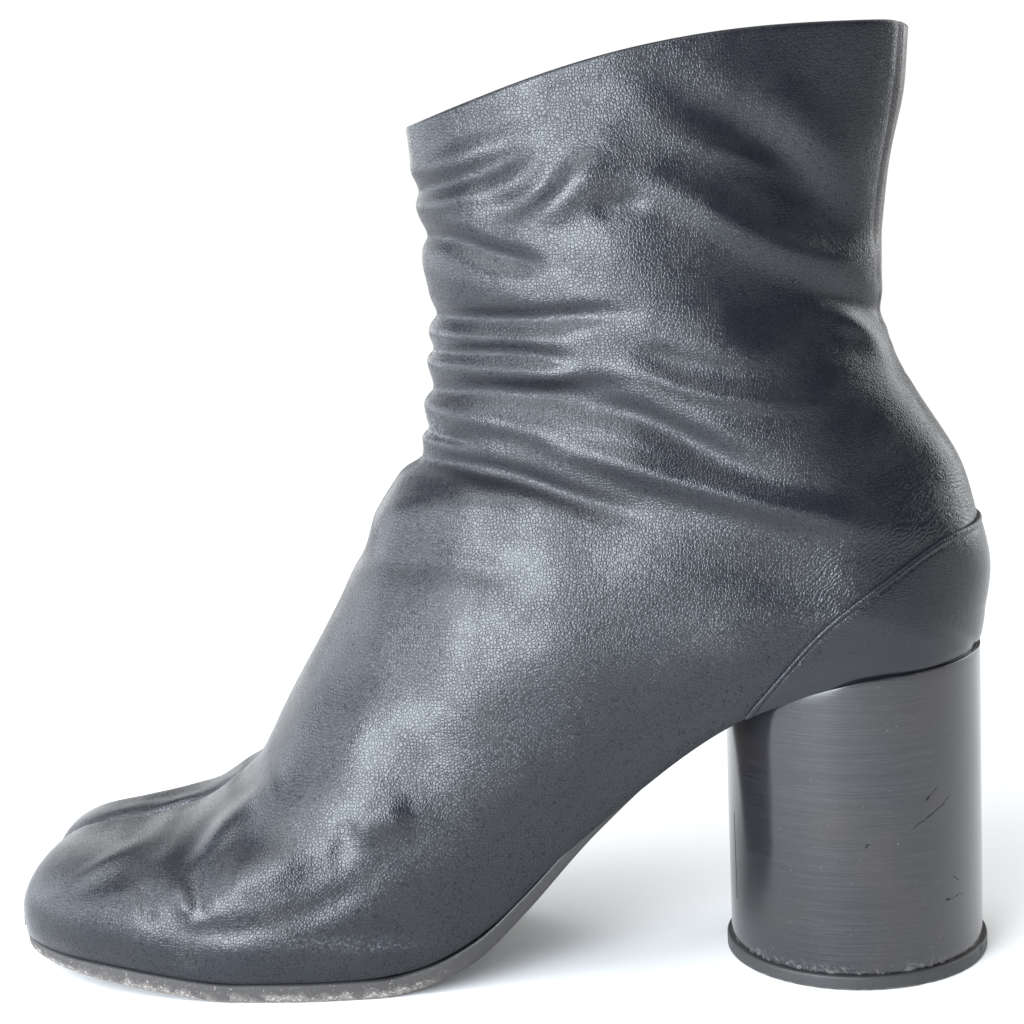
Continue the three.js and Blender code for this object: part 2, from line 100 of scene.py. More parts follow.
# Sections of the shaft up to the collar, in shares of the shoe's length, of the heights from the
# seat and the notch up to the collar, and of the collar's half width.
SHAFT_COLUMNS = "back_along back_rise top_along front_rise half widest arch round".split()
SHAFT_TABLE = [
    [0.0103, 0.071, 0.463, 0.362, 1.283, 0.285, 0.00, 1.05],
    [0.0128, 0.127, 0.463, 0.442, 1.275, 0.32, 0.00, 1.05],
    [0.0034, 0.197, 0.461, 0.523, 1.250, 0.36, 0.05, 1.06],
    [-0.015, 0.289, 0.459, 0.603, 1.217, 0.39, 0.12, 1.07],
    [-0.052, 0.402, 0.457, 0.684, 1.175, 0.42, 0.25, 1.08],
    [-0.084, 0.494, 0.455, 0.764, 1.133, 0.45, 0.40, 1.09],
    [-0.088, 0.620, 0.453, 0.831, 1.092, 0.47, 0.55, 1.10],
    [-0.083, 0.748, 0.452, 0.885, 1.054, 0.48, 0.70, 1.10],
    [-0.068, 0.867, 0.450, 0.938, 1.025, 0.49, 0.85, 1.10],
    [-0.060, 1.000, 0.448, 1.000, 1.000, 0.50, 1.00, 1.10],
]

# The sole's underside along the shoe, as shares of the seat's height, and its thickness.
PROFILE_TABLE = [
    [0.000, 0.068, 0.72],
    [0.053, 0.055, 0.78],
    [0.121, 0.038, 0.93],
    [0.172, 0.021, 0.98],
    [0.245, 0.000, 1.00],
    [0.395, 0.000, 1.00],
    [0.443, 0.026, 1.02],
    [0.489, 0.090, 1.05],
    [0.541, 0.234, 0.95],
    [0.616, 0.480, 0.78],
    [0.714, 0.742, 0.62],
    [0.789, 0.869, 0.46],
    [0.892, 0.958, 0.40],
    [1.000, 0.980, 0.40],
]
WEB_ROW = 7
SEAT_ROW = len(FOOT_TABLE) - 1
COLLAR_ROW = SEAT_ROW + len(SHAFT_TABLE)
GROOVE_SHARE = 0.005
LOWER_SHARE, UPPER_SHARE = 0.25, 0.75
STEEPEST_SHARE = 0.985
CLEFT_POWER = 0.45


def monotone(xs, ys):
    """A smooth curve through one column's values that never overshoots them."""
    xs, ys = np.asarray(xs, float), np.asarray(ys, float)
    slope = np.diff(ys) / np.diff(xs)
    before, after = slope[:-1], slope[1:]
    same_way = before * after > 0
    total = np.where(same_way, before + after, 1.0)
    inner = np.where(same_way, 2 * before * after / total, 0.0)
    bend = np.concatenate([slope[:1], inner, slope[-1:]])

    def curve(x):
        at = np.clip(x, xs[0], xs[-1])
        k = np.clip(np.searchsorted(xs, at, side="right") - 1, 0, len(xs) - 2)
        width = xs[k + 1] - xs[k]
        t = (at - xs[k]) / width
        t2, t3 = t * t, t * t * t
        return ((2 * t3 - 3 * t2 + 1) * ys[k] + (t3 - 2 * t2 + t) * width * bend[k]
                + (3 * t2 - 2 * t3) * ys[k + 1] + (t3 - t2) * width * bend[k + 1])

    return curve


profile = np.array(PROFILE_TABLE)
profile_along = TOE_TIP + profile[:, 0] * SHOE_LENGTH
underside = monotone(profile_along, profile[:, 1] * SEAT_HEIGHT)
thickness = monotone(profile_along, profile[:, 2] * SOLE_THICKNESS)


def sole_top(x):
    return underside(x) + thickness(x)


def feather(x):
    return sole_top(x) + SEAM


def smooth_step(low, high, value):
    t = np.clip((value - low) / (high - low), 0, 1)
    return t * t * (3 - 2 * t)


def bell(value, middle, width):
    return np.exp(-((value - middle) / width) ** 2)


def foot_section(row):
    r = dict(zip(FOOT_COLUMNS, row))
    x = TOE_TIP + r["along"] * SHOE_LENGTH
    return {
        "back_x": x, "back_z": float(feather(x)),
        "top_x": TOE_TIP + r["top_along"] * SHOE_LENGTH, "top_z": r["top_height"] * NOTCH_HEIGHT,
        "lateral": r["lateral"] * BALL_HALF_LATERAL, "medial": r["medial"] * BALL_HALF_MEDIAL,
        "full_lateral": r["full_lateral"] * BALL_HALF_LATERAL,
        "full_medial": r["full_medial"] * BALL_HALF_MEDIAL,
        "mid": r["mid"] * CLEFT_OFFSET, "open": r["open"] * TOE_GAP / 2, "crown": r["crown"] * TOE_CROWN,
        "widest": r["widest"], "cleft": r["cleft"], "arch": 0.0, "round": r["round"],
    }


def shaft_section(row):
    r = dict(zip(SHAFT_COLUMNS, row))
    seat = float(feather(SEAT_BACK))
    half = r["half"] * COLLAR_HALF_WIDTH
    crown = dict(zip(FOOT_COLUMNS, FOOT_TABLE[SEAT_ROW]))["crown"]
    return {
        "back_x": SEAT_BACK + r["back_along"] * SHOE_LENGTH,
        "back_z": seat + r["back_rise"] * (COLLAR_BACK_HEIGHT - seat),
        "top_x": TOE_TIP + r["top_along"] * SHOE_LENGTH,
        "top_z": NOTCH_HEIGHT + r["front_rise"] * (COLLAR_FRONT_HEIGHT - NOTCH_HEIGHT),
        "lateral": 0.0, "medial": 0.0, "full_lateral": half, "full_medial": half,
        "mid": 0.0, "open": 0.0, "crown": crown * TOE_CROWN,
        "widest": r["widest"], "cleft": GROOVE_SHARE, "arch": r["arch"] * COLLAR_ARCH,
        "round": r["round"],
    }


sections = [foot_section(row) for row in FOOT_TABLE] + [shaft_section(row) for row in SHAFT_TABLE]
section_curves = {key: monotone(range(len(sections)), [s[key] for s in sections]) for key in sections[0]}


def skin(rows, side, shares):
    """Points of the upper's outer face before its folds, one row of points for each of rows."""
    rows, share = np.broadcast_arrays(np.asarray(rows, float)[:, None], np.asarray(shares, float)[None, :])
    s = {key: curve(rows) for key, curve in section_curves.items()}
    full = s["full_lateral"] + s["mid"] if side < 0 else s["full_medial"] - s["mid"]
    edge = s["lateral"] + s["mid"] if side < 0 else s["medial"] - s["mid"]
    crown = s["open"] + s["crown"]
    start = np.arcsin(np.minimum(edge / full, STEEPEST_SHARE))
    low = np.clip(share / LOWER_SHARE, 0, 1)
    angle = start + (np.pi / 2 - start) * low
    narrow = np.where(edge > 0, edge / np.maximum(full * np.sin(start), 1e-9), 1.0)
    out_low = full * np.sin(angle) * narrow ** (1 - low)
    rise_low = s["widest"] * (1 - np.cos(angle) / np.cos(start))
    angle = (np.pi / 2) * np.clip((share - LOWER_SHARE) / (UPPER_SHARE - LOWER_SHARE), 0, 1)
    out_side = crown + (full - crown) * np.maximum(np.cos(angle), 0) ** s["round"]
    rise_side = s["widest"] + (1 - s["widest"]) * np.maximum(np.sin(angle), 0) ** s["round"]
    angle = (np.pi / 2) * np.clip((share - UPPER_SHARE) / (1 - UPPER_SHARE), 0, 1)
    out_top = crown - (crown - s["open"]) * np.maximum(np.sin(angle), 0) ** CLEFT_POWER
    rise_top = 1 - s["cleft"] * (1 - np.maximum(np.cos(angle), 0) ** CLEFT_POWER)
    zone = [share <= LOWER_SHARE, share <= UPPER_SHARE]
    out = np.select(zone, [out_low, out_side], out_top)
    rise = np.select(zone, [rise_low, rise_side], rise_top)
    return np.stack([
        s["back_x"] + (s["top_x"] - s["back_x"]) * rise,
        s["mid"] + side * out,
        s["back_z"] + (s["top_z"] - s["back_z"]) * rise + s["arch"] * np.sin(np.pi * rise),
    ], axis=-1)


# Folds of the outer side, each a line of points (x, z) in millimetres seen from the side, with its
# height, its width and how much of it is left at the line's start and end. Below zero is a trough.
LATERAL_FOLDS = [
    ("collar_hollow", [(-92, 198), (-77, 203), (-62, 207), (-46, 210), (-30, 211)], -0.6, 4.5, 0.6, 0.2),
    ("front_ridge_1", [(-98, 190), (-90, 192), (-83, 195), (-76, 198)], 0.6, 3.5, 0.8, 0.0),
    ("front_hollow_1", [(-98, 186), (-88, 188), (-81, 190), (-74, 193), (-68, 196)], -1.0, 3.2, 0.8, 0.0),
    ("front_ridge_2", [(-98, 182), (-88, 184), (-79, 187)], 0.6, 3.0, 0.8, 0.0),
    ("front_hollow_2", [(-84, 181), (-76, 182), (-69, 185), (-65, 189), (-63, 196)], -1.2, 3.6, 0.0, 0.0),
    ("shaft_boss", [(-70, 177), (-66, 182), (-61, 186), (-56, 190), (-53, 195)], 1.2, 5.5, 0.2, 0.2),
    ("shaft_dimple", [(-57, 181), (-50, 182), (-42, 184)], -0.7, 3.4, 0.0, 0.0),
    ("front_hollow_3", [(-101, 176), (-89, 175), (-80, 172), (-72, 170), (-64, 168)], -1.5, 3.2, 1.0, 0.0),
    ("front_swell_3", [(-101, 168), (-90, 167), (-78, 164), (-64, 162)], 0.7, 4.8, 0.9, 0.0),
    ("front_hollow_4", [(-101, 158), (-85, 157), (-73, 157), (-59, 158), (-42, 159)], -1.5, 2.8, 1.0, 0.0),
    ("front_ridge_4", [(-101, 152), (-83, 152.5), (-71, 152.5), (-56, 151.5)], 0.8, 2.6, 0.7, 0.0),
    ("front_hollow_5", [(-101, 148.5), (-86, 149), (-72, 149), (-60, 148)], -0.8, 2.2, 0.9, 0.0),
    ("front_ridge_5", [(-101, 145), (-86, 145.5), (-71, 145), (-57, 143)], 1.0, 3.0, 0.8, 0.0),
    ("middle_ridge", [(-57, 146), (-44, 144), (-36, 141), (-26, 139), (-12, 137.5), (4, 137)],
     0.8, 2.5, 0.0, 0.2),
    ("middle_hollow", [(-50, 150), (-40, 148), (-28, 145), (-10, 143)], -0.7, 3.2, 0.0, 0.0),
    ("front_hollow_6", [(-101, 139.5), (-84, 140), (-70, 140), (-57, 142), (-46, 142)], -1.4, 2.8, 0.6, 0.0),
    ("front_ridge_6", [(-101, 135.5), (-85, 133.5), (-72, 131.5), (-60, 130)], 1.1, 3.4, 1.0, 0.0),
    ("front_hollow_7", [(-102, 130.5), (-93, 129), (-84, 128)], -0.9, 1.9, 1.0, 0.0),
    ("ankle_hollow", [(-82, 137), (-72, 138.5), (-62, 138), (-51, 136), (-41, 132), (-27, 125), (-13, 119)],
     -2.0, 4.4, 0.0, 0.0),
    ("ankle_ridge", [(-80, 127), (-66, 127.5), (-53, 125), (-41, 121), (-30, 118), (-17, 114.5), (-4, 111),
                     (12, 107)], 2.0, 4.2, 0.1, 0.2),
    ("back_hollow", [(-42, 214), (-33, 205), (-21, 197), (-11, 187), (-4, 178), (4, 170)],
     -1.9, 6.0, 0.4, 0.2),
    ("back_edge", [(-40, 199), (-28, 194), (-18, 190), (-8, 182)], 0.8, 2.8, 0.0, 0.0),
    ("back_ridge", [(-50, 190), (-36, 184.5), (-23, 176), (-15, 171), (-4, 167.5), (5, 168)],
     1.7, 4.4, 0.1, 0.3),
    ("back_panel", [(-17, 213), (-12, 203), (-5, 193), (3, 183)], 0.9, 5.0, 0.3, 0.2),
    ("back_dimple", [(-9, 160.5), (-1, 159.5), (9, 154)], -1.4, 3.2, 0.0, 0.6),
    ("back_lip", [(-4, 155), (2, 152), (9, 145)], 0.9, 3.0, 0.0, 0.3),
    ("notch", [(-105, 123.5), (-98, 123.8), (-89, 123), (-75, 120.5), (-57, 115), (-40, 112)],
     -2.0, 3.2, 1.0, 0.0),
    ("vamp_ridge", [(-112, 109), (-98, 113.5), (-84, 114.5), (-70, 111)], 1.1, 5.0, 0.7, 0.0),
    ("vamp_hollow", [(-116, 100), (-99, 101.5), (-85, 100.5), (-70, 96)], -0.8, 4.6, 0.7, 0.0),
    ("pocket_crease", [(-144, 46.5), (-151, 42), (-154, 39), (-157, 35), (-160, 31), (-163, 26)],
     -0.8, 2.8, 0.3, 0.0),
    ("pocket_ridge", [(-138, 48), (-142, 44.5), (-149, 38.5), (-157, 33)], 0.9, 2.8, 0.5, 0.0),
    ("ball_split", [(-153, 34), (-154, 27), (-153, 20)], -0.45, 3.0, 0.0, 0.0),
    ("toe_split", [(-169, 29), (-167, 24), (-165, 18)], -0.6, 2.2, 0.0, 0.0),
    ("toe_fold", [(-162, 36), (-168, 34), (-180, 29), (-194, 22)], 0.6, 1.6, 0.2, 0.2),
    ("toe_hollow", [(-163, 31.5), (-172, 29), (-182, 25), (-193, 19)], -0.45, 2.4, 0.0, 0.0),
    ("ball_boss", [(-150, 27), (-139, 31.5), (-124, 36.5)], 1.4, 5.4, 0.3, 0.3),
    ("toe_boss", [(-162, 28), (-158, 25), (-155, 21)], 1.0, 3.4, 0.3, 0.3),
    ("waist_boss", [(-118, 40), (-110, 43), (-101, 45)], 0.9, 5.0, 0.2, 0.2),
    ("ball_crease", [(-122, 31), (-119, 38), (-117, 45)], -0.3, 3.0, 0.0, 0.0),
    ("ball_foot", [(-166, 19), (-150, 18), (-136, 20), (-119, 26), (-103, 37)], -0.7, 4.0, 0.2, 0.0),
]

# Folds of the inner side, which the picture hides: the same foot bends it at the same heights.
MEDIAL_FOLDS = [
    ("collar_hollow", [(-90, 199), (-70, 204), (-50, 208)], -0.5, 4.5, 0.6, 0.0),
    ("front_hollow_1", [(-98, 186), (-86, 184), (-74, 180), (-66, 174)], -1.0, 3.4, 0.8, 0.0),
    ("shaft_boss", [(-62, 192), (-50, 186), (-36, 184)], 1.0, 5.5, 0.2, 0.2),
    ("front_hollow_3", [(-101, 176), (-86, 173), (-70, 171)], -1.2, 3.2, 1.0, 0.0),
    ("front_hollow_4", [(-101, 158), (-84, 159), (-64, 157), (-46, 152)], -1.4, 3.0, 1.0, 0.0),
    ("front_ridge_4", [(-101, 152), (-82, 153), (-62, 150), (-44, 145)], 0.9, 3.0, 0.7, 0.0),
    ("front_hollow_6", [(-101, 139.5), (-82, 142), (-62, 140), (-44, 134)], -1.3, 3.0, 0.6, 0.0),
    ("front_ridge_6", [(-101, 135.5), (-80, 136), (-60, 132), (-40, 126)], 1.0, 3.4, 1.0, 0.0),
    ("ankle_hollow", [(-70, 134), (-52, 131), (-34, 124), (-18, 116)], -1.5, 4.2, 0.0, 0.0),
    ("ankle_ridge", [(-74, 124), (-56, 121), (-36, 114), (-14, 109), (8, 106)], 1.6, 4.4, 0.1, 0.2),
    ("back_hollow", [(-30, 208), (-18, 198), (-8, 186), (0, 172)], -1.3, 6.0, 0.3, 0.2),
    ("back_ridge", [(-40, 180), (-24, 174), (-8, 168), (4, 166)], 1.2, 4.6, 0.1, 0.3),
    ("back_dimple", [(-10, 158), (0, 157), (9, 152)], -1.2, 3.4, 0.0, 0.6),
    ("notch", [(-105, 123.5), (-92, 124), (-76, 119), (-58, 112)], -1.8, 3.2, 1.0, 0.0),
    ("vamp_ridge", [(-112, 109), (-96, 112), (-80, 108)], 1.0, 5.0, 0.7, 0.0),
    ("ball_hollow", [(-146, 40), (-138, 32), (-132, 22)], -0.9, 3.0, 0.2, 0.0),
    ("ball_boss", [(-140, 22), (-126, 26), (-112, 34)], 0.9, 5.2, 0.2, 0.2),
    ("toe_split", [(-170, 29), (-166, 23), (-164, 17)], -0.6, 2.2, 0.0, 0.0),
]
SHOULDER = 0.55
FADE_SHARE = 0.35


def smooth_line(points, count=26):
    """Points of a rounded curve through given ones."""
    p = np.array(points, float)
    p = np.vstack([2 * p[0] - p[1], p, 2 * p[-1] - p[-2]])
    spans = len(p) - 3
    at = np.linspace(0, spans, count)
    k = np.minimum(at.astype(int), spans - 1)
    t = (at - k)[:, None]
    a, b, c, d = p[k], p[k + 1], p[k + 2], p[k + 3]
    bend, twist = 2 * a - 5 * b + 4 * c - d, 3 * b - a - 3 * c + d
    return 0.5 * (2 * b + (c - a) * t + bend * t ** 2 + twist * t ** 3)


def line_distance(x, z, line):
    """How far each point is from a line, and how far along the line its nearest place is."""
    best = np.full(x.shape, np.inf)
    along = np.zeros(x.shape)
    for k in range(len(line) - 1):
        (ax, az), (bx, bz) = line[k], line[k + 1]
        ux, uz = bx - ax, bz - az
        t = np.clip(((x - ax) * ux + (z - az) * uz) / (ux * ux + uz * uz), 0, 1)
        away = np.hypot(x - ax - t * ux, z - az - t * uz)
        closer = away < best
        best = np.where(closer, away, best)
        along = np.where(closer, (k + t) / (len(line) - 1), along)
    return best, along


def fold_height(x, z, folds):
    """The height of all the folds together. A fold has low shoulders on both sides."""
    total = np.zeros(x.shape)
    for _, points, height, width, start, end in folds:
        away, along = line_distance(x, z, smooth_line(points))
        across = (away / width) ** 2
        first = start + (1 - start) * smooth_step(0, FADE_SHARE, along)
        last = end + (1 - end) * smooth_step(0, FADE_SHARE, 1 - along)
        total += height * first * last * (1 - SHOULDER * across) * np.exp(-across)
    return total


# The mesh of the upper: rows along the shoe and up the shaft, and columns from the feather edge or
# the back seam to the cleft or the front seam.
ROW_COUNT = 392
FINE_ROW_COUNT = 6001
MEASURED_SHARES = [0.06, 0.4, 0.7]
LOWER_COLUMNS, SIDE_COLUMNS, TOP_COLUMNS = 26, 58, 20
COLUMN_CROWDING = 1.5
EVENING_SPREAD = 5.0
EVENED_ROWS = (WEB_ROW + 2, WEB_ROW + 5)
SEAT_CALM_ROWS = 1.4
SEAT_CALM_SHARE = 0.2
SIDES = (-1, 1)


def even_rows(count):
    """Row numbers that lie about evenly along the skin, with one at the web and one at the seat."""
    fine = np.linspace(0, COLLAR_ROW, FINE_ROW_COUNT)
    step = np.zeros(len(fine) - 1)
    for side in SIDES:
        lines = skin(fine, side, MEASURED_SHARES)
        step = np.maximum(step, np.linalg.norm(np.diff(lines, axis=0), axis=2).max(axis=1))
    path = np.concatenate([[0], np.cumsum(step)])
    rows = np.interp(np.linspace(0, path[-1], count), path, fine)
    for fixed in (WEB_ROW, SEAT_ROW):
        rows[np.argmin(abs(rows - fixed))] = fixed
    return rows


rows = even_rows(ROW_COUNT)
shares = np.concatenate([
    LOWER_SHARE * np.linspace(0, 1, LOWER_COLUMNS, endpoint=False) ** COLUMN_CROWDING,
    np.linspace(LOWER_SHARE, UPPER_SHARE, SIDE_COLUMNS, endpoint=False),
    np.linspace(UPPER_SHARE, 1, TOP_COLUMNS + 1),
])
web = int(np.argmin(abs(rows - WEB_ROW)))
seat = int(np.argmin(abs(rows - SEAT_ROW)))


def relax(grid, spread):
    """Evens a grid of points out along its rows, and keeps its first and last row."""
    reach = int(3 * spread)
    weights = np.exp(-0.5 * (np.arange(-reach, reach + 1) / spread) ** 2)
    weights /= weights.sum()
    before = 2 * grid[:1] - grid[1:reach + 1][::-1]
    after = 2 * grid[-1:] - grid[-reach - 1:-1][::-1]
    long = np.concatenate([before, grid, after])
    return sum(w * long[k:k + len(grid)] for k, w in enumerate(weights))


def base_grid(side):
    """One side's points, evened out along the shoe but not at the toes and the seat's edge."""
    plain = skin(rows, side, shares)
    evened = relax(plain, EVENING_SPREAD)
    foot = smooth_step(*EVENED_ROWS, rows)[:, None]
    seat_edge = (1 - smooth_step(0.0, SEAT_CALM_SHARE, shares))[None, :]
    near_seat = bell(rows, SEAT_ROW, SEAT_CALM_ROWS)[:, None] * seat_edge
    weight = (foot * (1 - near_seat))[..., None]
    grid = plain + weight * (evened - plain)
    grid[seat:, 0, 1] = 0
    return grid


def indexed(grids):
    """Vertex numbers of both sides, the same where they join, and the points in that order."""
    row_count, column_count = grids[-1].shape[:2]
    index = {-1: np.arange(row_count * column_count).reshape(row_count, column_count)}
    own = np.ones((row_count, column_count), bool)
    own[web:, -1] = False
    own[seat:, 0] = False
    index[1] = np.empty_like(index[-1])
    index[1][own] = row_count * column_count + np.arange(own.sum())
    index[1][web:, -1] = index[-1][web:, -1]
    index[1][seat:, 0] = index[-1][seat:, 0]
    points = np.concatenate([grids[-1].reshape(-1, 3), grids[1][own]])
    return index, points, own


def quads_of(index, side):
    a, b, c, d = index[:-1, :-1], index[:-1, 1:], index[1:, 1:], index[1:, :-1]
    order = (a, b, c, d) if side > 0 else (a, d, c, b)
    return np.stack(order, axis=-1).reshape(-1, 4)


def unit(ways):
    return ways / np.maximum(np.linalg.norm(ways, axis=1, keepdims=True), 1e-12)


def vertex_normals(points, quads):
    across = points[quads[:, 2]] - points[quads[:, 0]]
    other = points[quads[:, 3]] - points[quads[:, 1]]
    face = np.cross(across, other)
    normals = np.zeros_like(points)
    for k in range(4):
        np.add.at(normals, quads[:, k], face)
    return unit(normals)


def soft_waves(points, length, seed):
    """A calm unevenness between about -1 and 1 with waves of about the given length."""
    chance = np.random.default_rng(seed)
    total = np.zeros(len(points))
    for _ in range(WAVE_COUNT):
        way = chance.normal(size=3)
        way *= 2 * np.pi / (length * chance.uniform(*WAVE_SPREAD)) / np.linalg.norm(way)
        total += np.sin(points @ way + chance.uniform(0, 2 * np.pi))
    return total / math.sqrt(WAVE_COUNT)


# Small forms of the leather: sizes in millimetres, and the rows and the shares where they fade.
FRONT_SEAM = {"groove": 0.22, "groove_width": 0.4, "ridge": 0.2, "ridge_at": 1.15, "ridge_width": 0.4}
FRONT_SEAM_ROWS = (WEB_ROW + 0.6, WEB_ROW + 2.0)
FRONT_SHARE = 0.6
BACK_SEAM = {"groove": 0.4, "groove_width": 0.5, "ridge": 0.14, "ridge_at": 1.2, "ridge_width": 0.4}
BACK_SEAM_ROWS = (SEAT_ROW + 0.1, SEAT_ROW + 0.5)
BACK_SHARE = 0.3
BACK_STRIP_WIDTH = 6.5
BACK_STRIP_RISE = (130.0, 172.0)
UNEVENNESS = 0.32
UNEVEN_LENGTH = 26.0
UNEVEN_SEED = 5
WAVE_COUNT = 9
WAVE_SPREAD = (0.7, 1.5)
JOIN_FADE = (2.0, 12.0)
FEATHER_FADE = (0.0, 0.16)
COLLAR_CALM = 0.6
COLLAR_FADE = (COLLAR_ROW - 1.2, COLLAR_ROW)
CLEFT_FADE = (0.82, 0.92)
CROWN_FADE = (0.60, 0.76)
CROWN_ROWS = (WEB_ROW + 0.5, WEB_ROW + 3.5)
TUCK_FADE = (-78, -45)
TUCK_SHARES = (0.0, 0.1)
TUCK_LAST_ROW = SEAT_ROW + 0.6
TUCK_GAP = 0.35
CORNER_DROP = 1.3
CORNER_ROWS = (COLLAR_ROW - 0.6, COLLAR_ROW)
CORNER_SHARES = (0.0, 0.10)
LEAF_ROW, LEAF_ROWS, LEAF_GAP = 6.35, 0.42, 1.1
LEAF_SHARES = (0.78, 0.95)
LOBE_ROW, LOBE_ROWS, LOBE_LIFT = 4.0, 1.4, 1.7
LOBE_SHARES = (0.45, 0.80)


def seam_line(across, seam):
    groove = -seam["groove"] * bell(across, 0, seam["groove_width"])
    return groove + seam["ridge"] * bell(across, seam["ridge_at"], seam["ridge_width"])


def back_strip(z):
    """Half the width of the strip down the back, which narrows to a single seam."""
    return BACK_STRIP_WIDTH * smooth_step(*BACK_STRIP_RISE, z)


def near_back_seam(row, share):
    return (share < BACK_SHARE) * smooth_step(*BACK_SEAM_ROWS, row)


def fold_field(points, row, share, inner_side):
    """How far each point of the skin moves outwards."""
    x, y, z = points.T
    outer = fold_height(x, z, LATERAL_FOLDS)
    inner = fold_height(x, z, MEDIAL_FOLDS)
    middle = np.interp(row, range(len(sections)), [s["mid"] for s in sections])
    apart = smooth_step(*JOIN_FADE, (y - middle) * inner_side)
    height = np.where(inner_side > 0, outer + (inner - outer) * apart, outer)
    height += UNEVENNESS * soft_waves(points, UNEVEN_LENGTH, UNEVEN_SEED)
    height *= np.where(row <= SEAT_ROW, smooth_step(*FEATHER_FADE, share), 1.0)
    height *= 1 - COLLAR_CALM * smooth_step(*COLLAR_FADE, row)
    height *= 1 - smooth_step(*CLEFT_FADE, share) * (row < WEB_ROW + 1)
    front = (share > FRONT_SHARE) * smooth_step(*FRONT_SEAM_ROWS, row)
    height += front * seam_line(abs(y - middle), FRONT_SEAM)
    height += near_back_seam(row, share) * seam_line(abs(abs(y) - back_strip(z)), BACK_SEAM)
    return height


def backwards(row):
    """The level way from the front seam to the back of each section, as a unit vector."""
    s = {key: section_curves[key](row) for key in ("back_x", "back_z", "top_x", "top_z")}
    return unit(np.stack([s["back_x"] - s["top_x"], 0 * row, s["back_z"] - s["top_z"]], axis=1))


def fold_way(row, share, normals):
    """Folds move along the normals, and straight forwards round the narrow front of the shaft."""
    front = smooth_step(*CROWN_FADE, share) * smooth_step(*CROWN_ROWS, row)
    return unit(normals + front[:, None] * (-backwards(row) - normals))


def tucked(grid):
    """Lengthens the leather down to the heel block where the sole is hidden under the seat."""
    x = grid[..., 0]
    drop = smooth_step(*TUCK_FADE, x) * (thickness(x) + SEAM - TUCK_GAP)
    low = (1 - smooth_step(*TUCK_SHARES, shares))[None, :] * (rows <= TUCK_LAST_ROW)[:, None]
    grid[..., 2] -= drop * low
    return grid


def pocket_opened(grid, side):
    """Opens the slit between the toes into a narrow leaf just in front of its end."""
    leaf = bell(rows, LEAF_ROW, LEAF_ROWS) * (rows < WEB_ROW)
    wall = smooth_step(*LEAF_SHARES, shares)
    grid[..., 1] += side * LEAF_GAP * leaf[:, None] * wall[None, :]
    return grid


def lobe_raised(grid, side):
    """Lifts the top of the outer toe pocket along the slit, where the toes press it up."""
    if side < 0:
        along = bell(rows, LOBE_ROW, LOBE_ROWS) * (rows < WEB_ROW)
        grid[..., 2] += LOBE_LIFT * along[:, None] * smooth_step(*LOBE_SHARES, shares)[None, :]
    return grid


def corner_rounded(grid):
    """Takes the corner off the back of the collar."""
    near_top = smooth_step(*CORNER_ROWS, rows)
    near_back = (1 - smooth_step(*CORNER_SHARES, shares)) ** 2
    grid[..., 2] -= CORNER_DROP * near_top[:, None] * near_back[None, :]
    return grid


def formed_grid(side):
    return corner_rounded(lobe_raised(pocket_opened(tucked(base_grid(side)), side), side))


def sheet_mesh(name, points, faces, attributes=None):
    mesh = bpy.data.meshes.new(name)
    mesh.from_pydata((np.asarray(points) * MM).tolist(), [], [list(map(int, face)) for face in faces])
    mesh.validate()
    for key, values in (attributes or {}).items():
        layer = mesh.attributes.new(key, "FLOAT", "POINT")
        layer.data.foreach_set("value", np.asarray(values, np.float32))
    mesh.shade_smooth()
    piece = bpy.data.objects.new(name, mesh)
    bpy.context.scene.collection.objects.link(piece)
    return piece


def join_loops(first, second, closed=False):
    """Four-sided faces between two rings of vertex numbers."""
    count = len(first)
    return [(first[k], first[(k + 1) % count], second[(k + 1) % count], second[k])
            for k in range(count if closed else count - 1)]


class Patch:
    """Points and faces that grow ring by ring."""

    def __init__(self, points, faces, values):
        self.points = list(map(np.asarray, points))
        self.faces = list(faces)
        self.values = {key: list(column) for key, column in values.items()}

    def add(self, ring, like):
        """Adds a ring of points, which takes its values from the ring of vertices it is like."""
        first = len(self.points)
        self.points.extend(np.asarray(ring))
        for column in self.values.values():
            column.extend(column[k] for k in like)
        return list(range(first, first + len(ring)))

    def bridge(self, here, there, flip):
        faces = join_loops(here, there)
        self.faces.extend([face[::-1] for face in faces] if flip else faces)


def for_each_point(values):
    """Repeats the values of a full grid for the points of both sides."""
    return np.concatenate([values.ravel(), values[own]])


index, points, own = indexed({side: formed_grid(side) for side in SIDES})
row_of, share_of = (for_each_point(values) for values in np.meshgrid(rows, shares, indexing="ij"))
inner_side = np.concatenate([-np.ones(own.size), np.ones(own.sum())])
quads = np.concatenate([quads_of(index[side], side) for side in SIDES])
plain_points, plain_normals = points, vertex_normals(points, quads)
fold = fold_field(points, row_of, share_of, inner_side)
points = plain_points + fold_way(row_of, share_of, plain_normals) * fold[:, None]
normals = vertex_normals(points, quads)

# The seam of the heel counter, seen from the side: it climbs from the arch and levels out at the back.
counter_front = SEAT_BACK - COUNTER_REACH
counter_foot = float(feather(counter_front))
counter_top = float(feather(SEAT_BACK)) + COUNTER_RISE
COUNTER_LINE = smooth_line([
    (counter_front - 2, counter_foot - 2.5),
    (counter_front + 0.03 * COUNTER_REACH, counter_foot + 0.05 * COUNTER_RISE),
    *[(counter_front + along * COUNTER_REACH, counter_foot + rise * (counter_top - counter_foot))
      for along, rise in ((0.32, 0.50), (0.62, 0.80), (0.86, 0.965))],
    (SEAT_BACK + 6, counter_top),
], 60)


def counter_height(x):
    return np.interp(x, COUNTER_LINE[:, 0], COUNTER_LINE[:, 1])
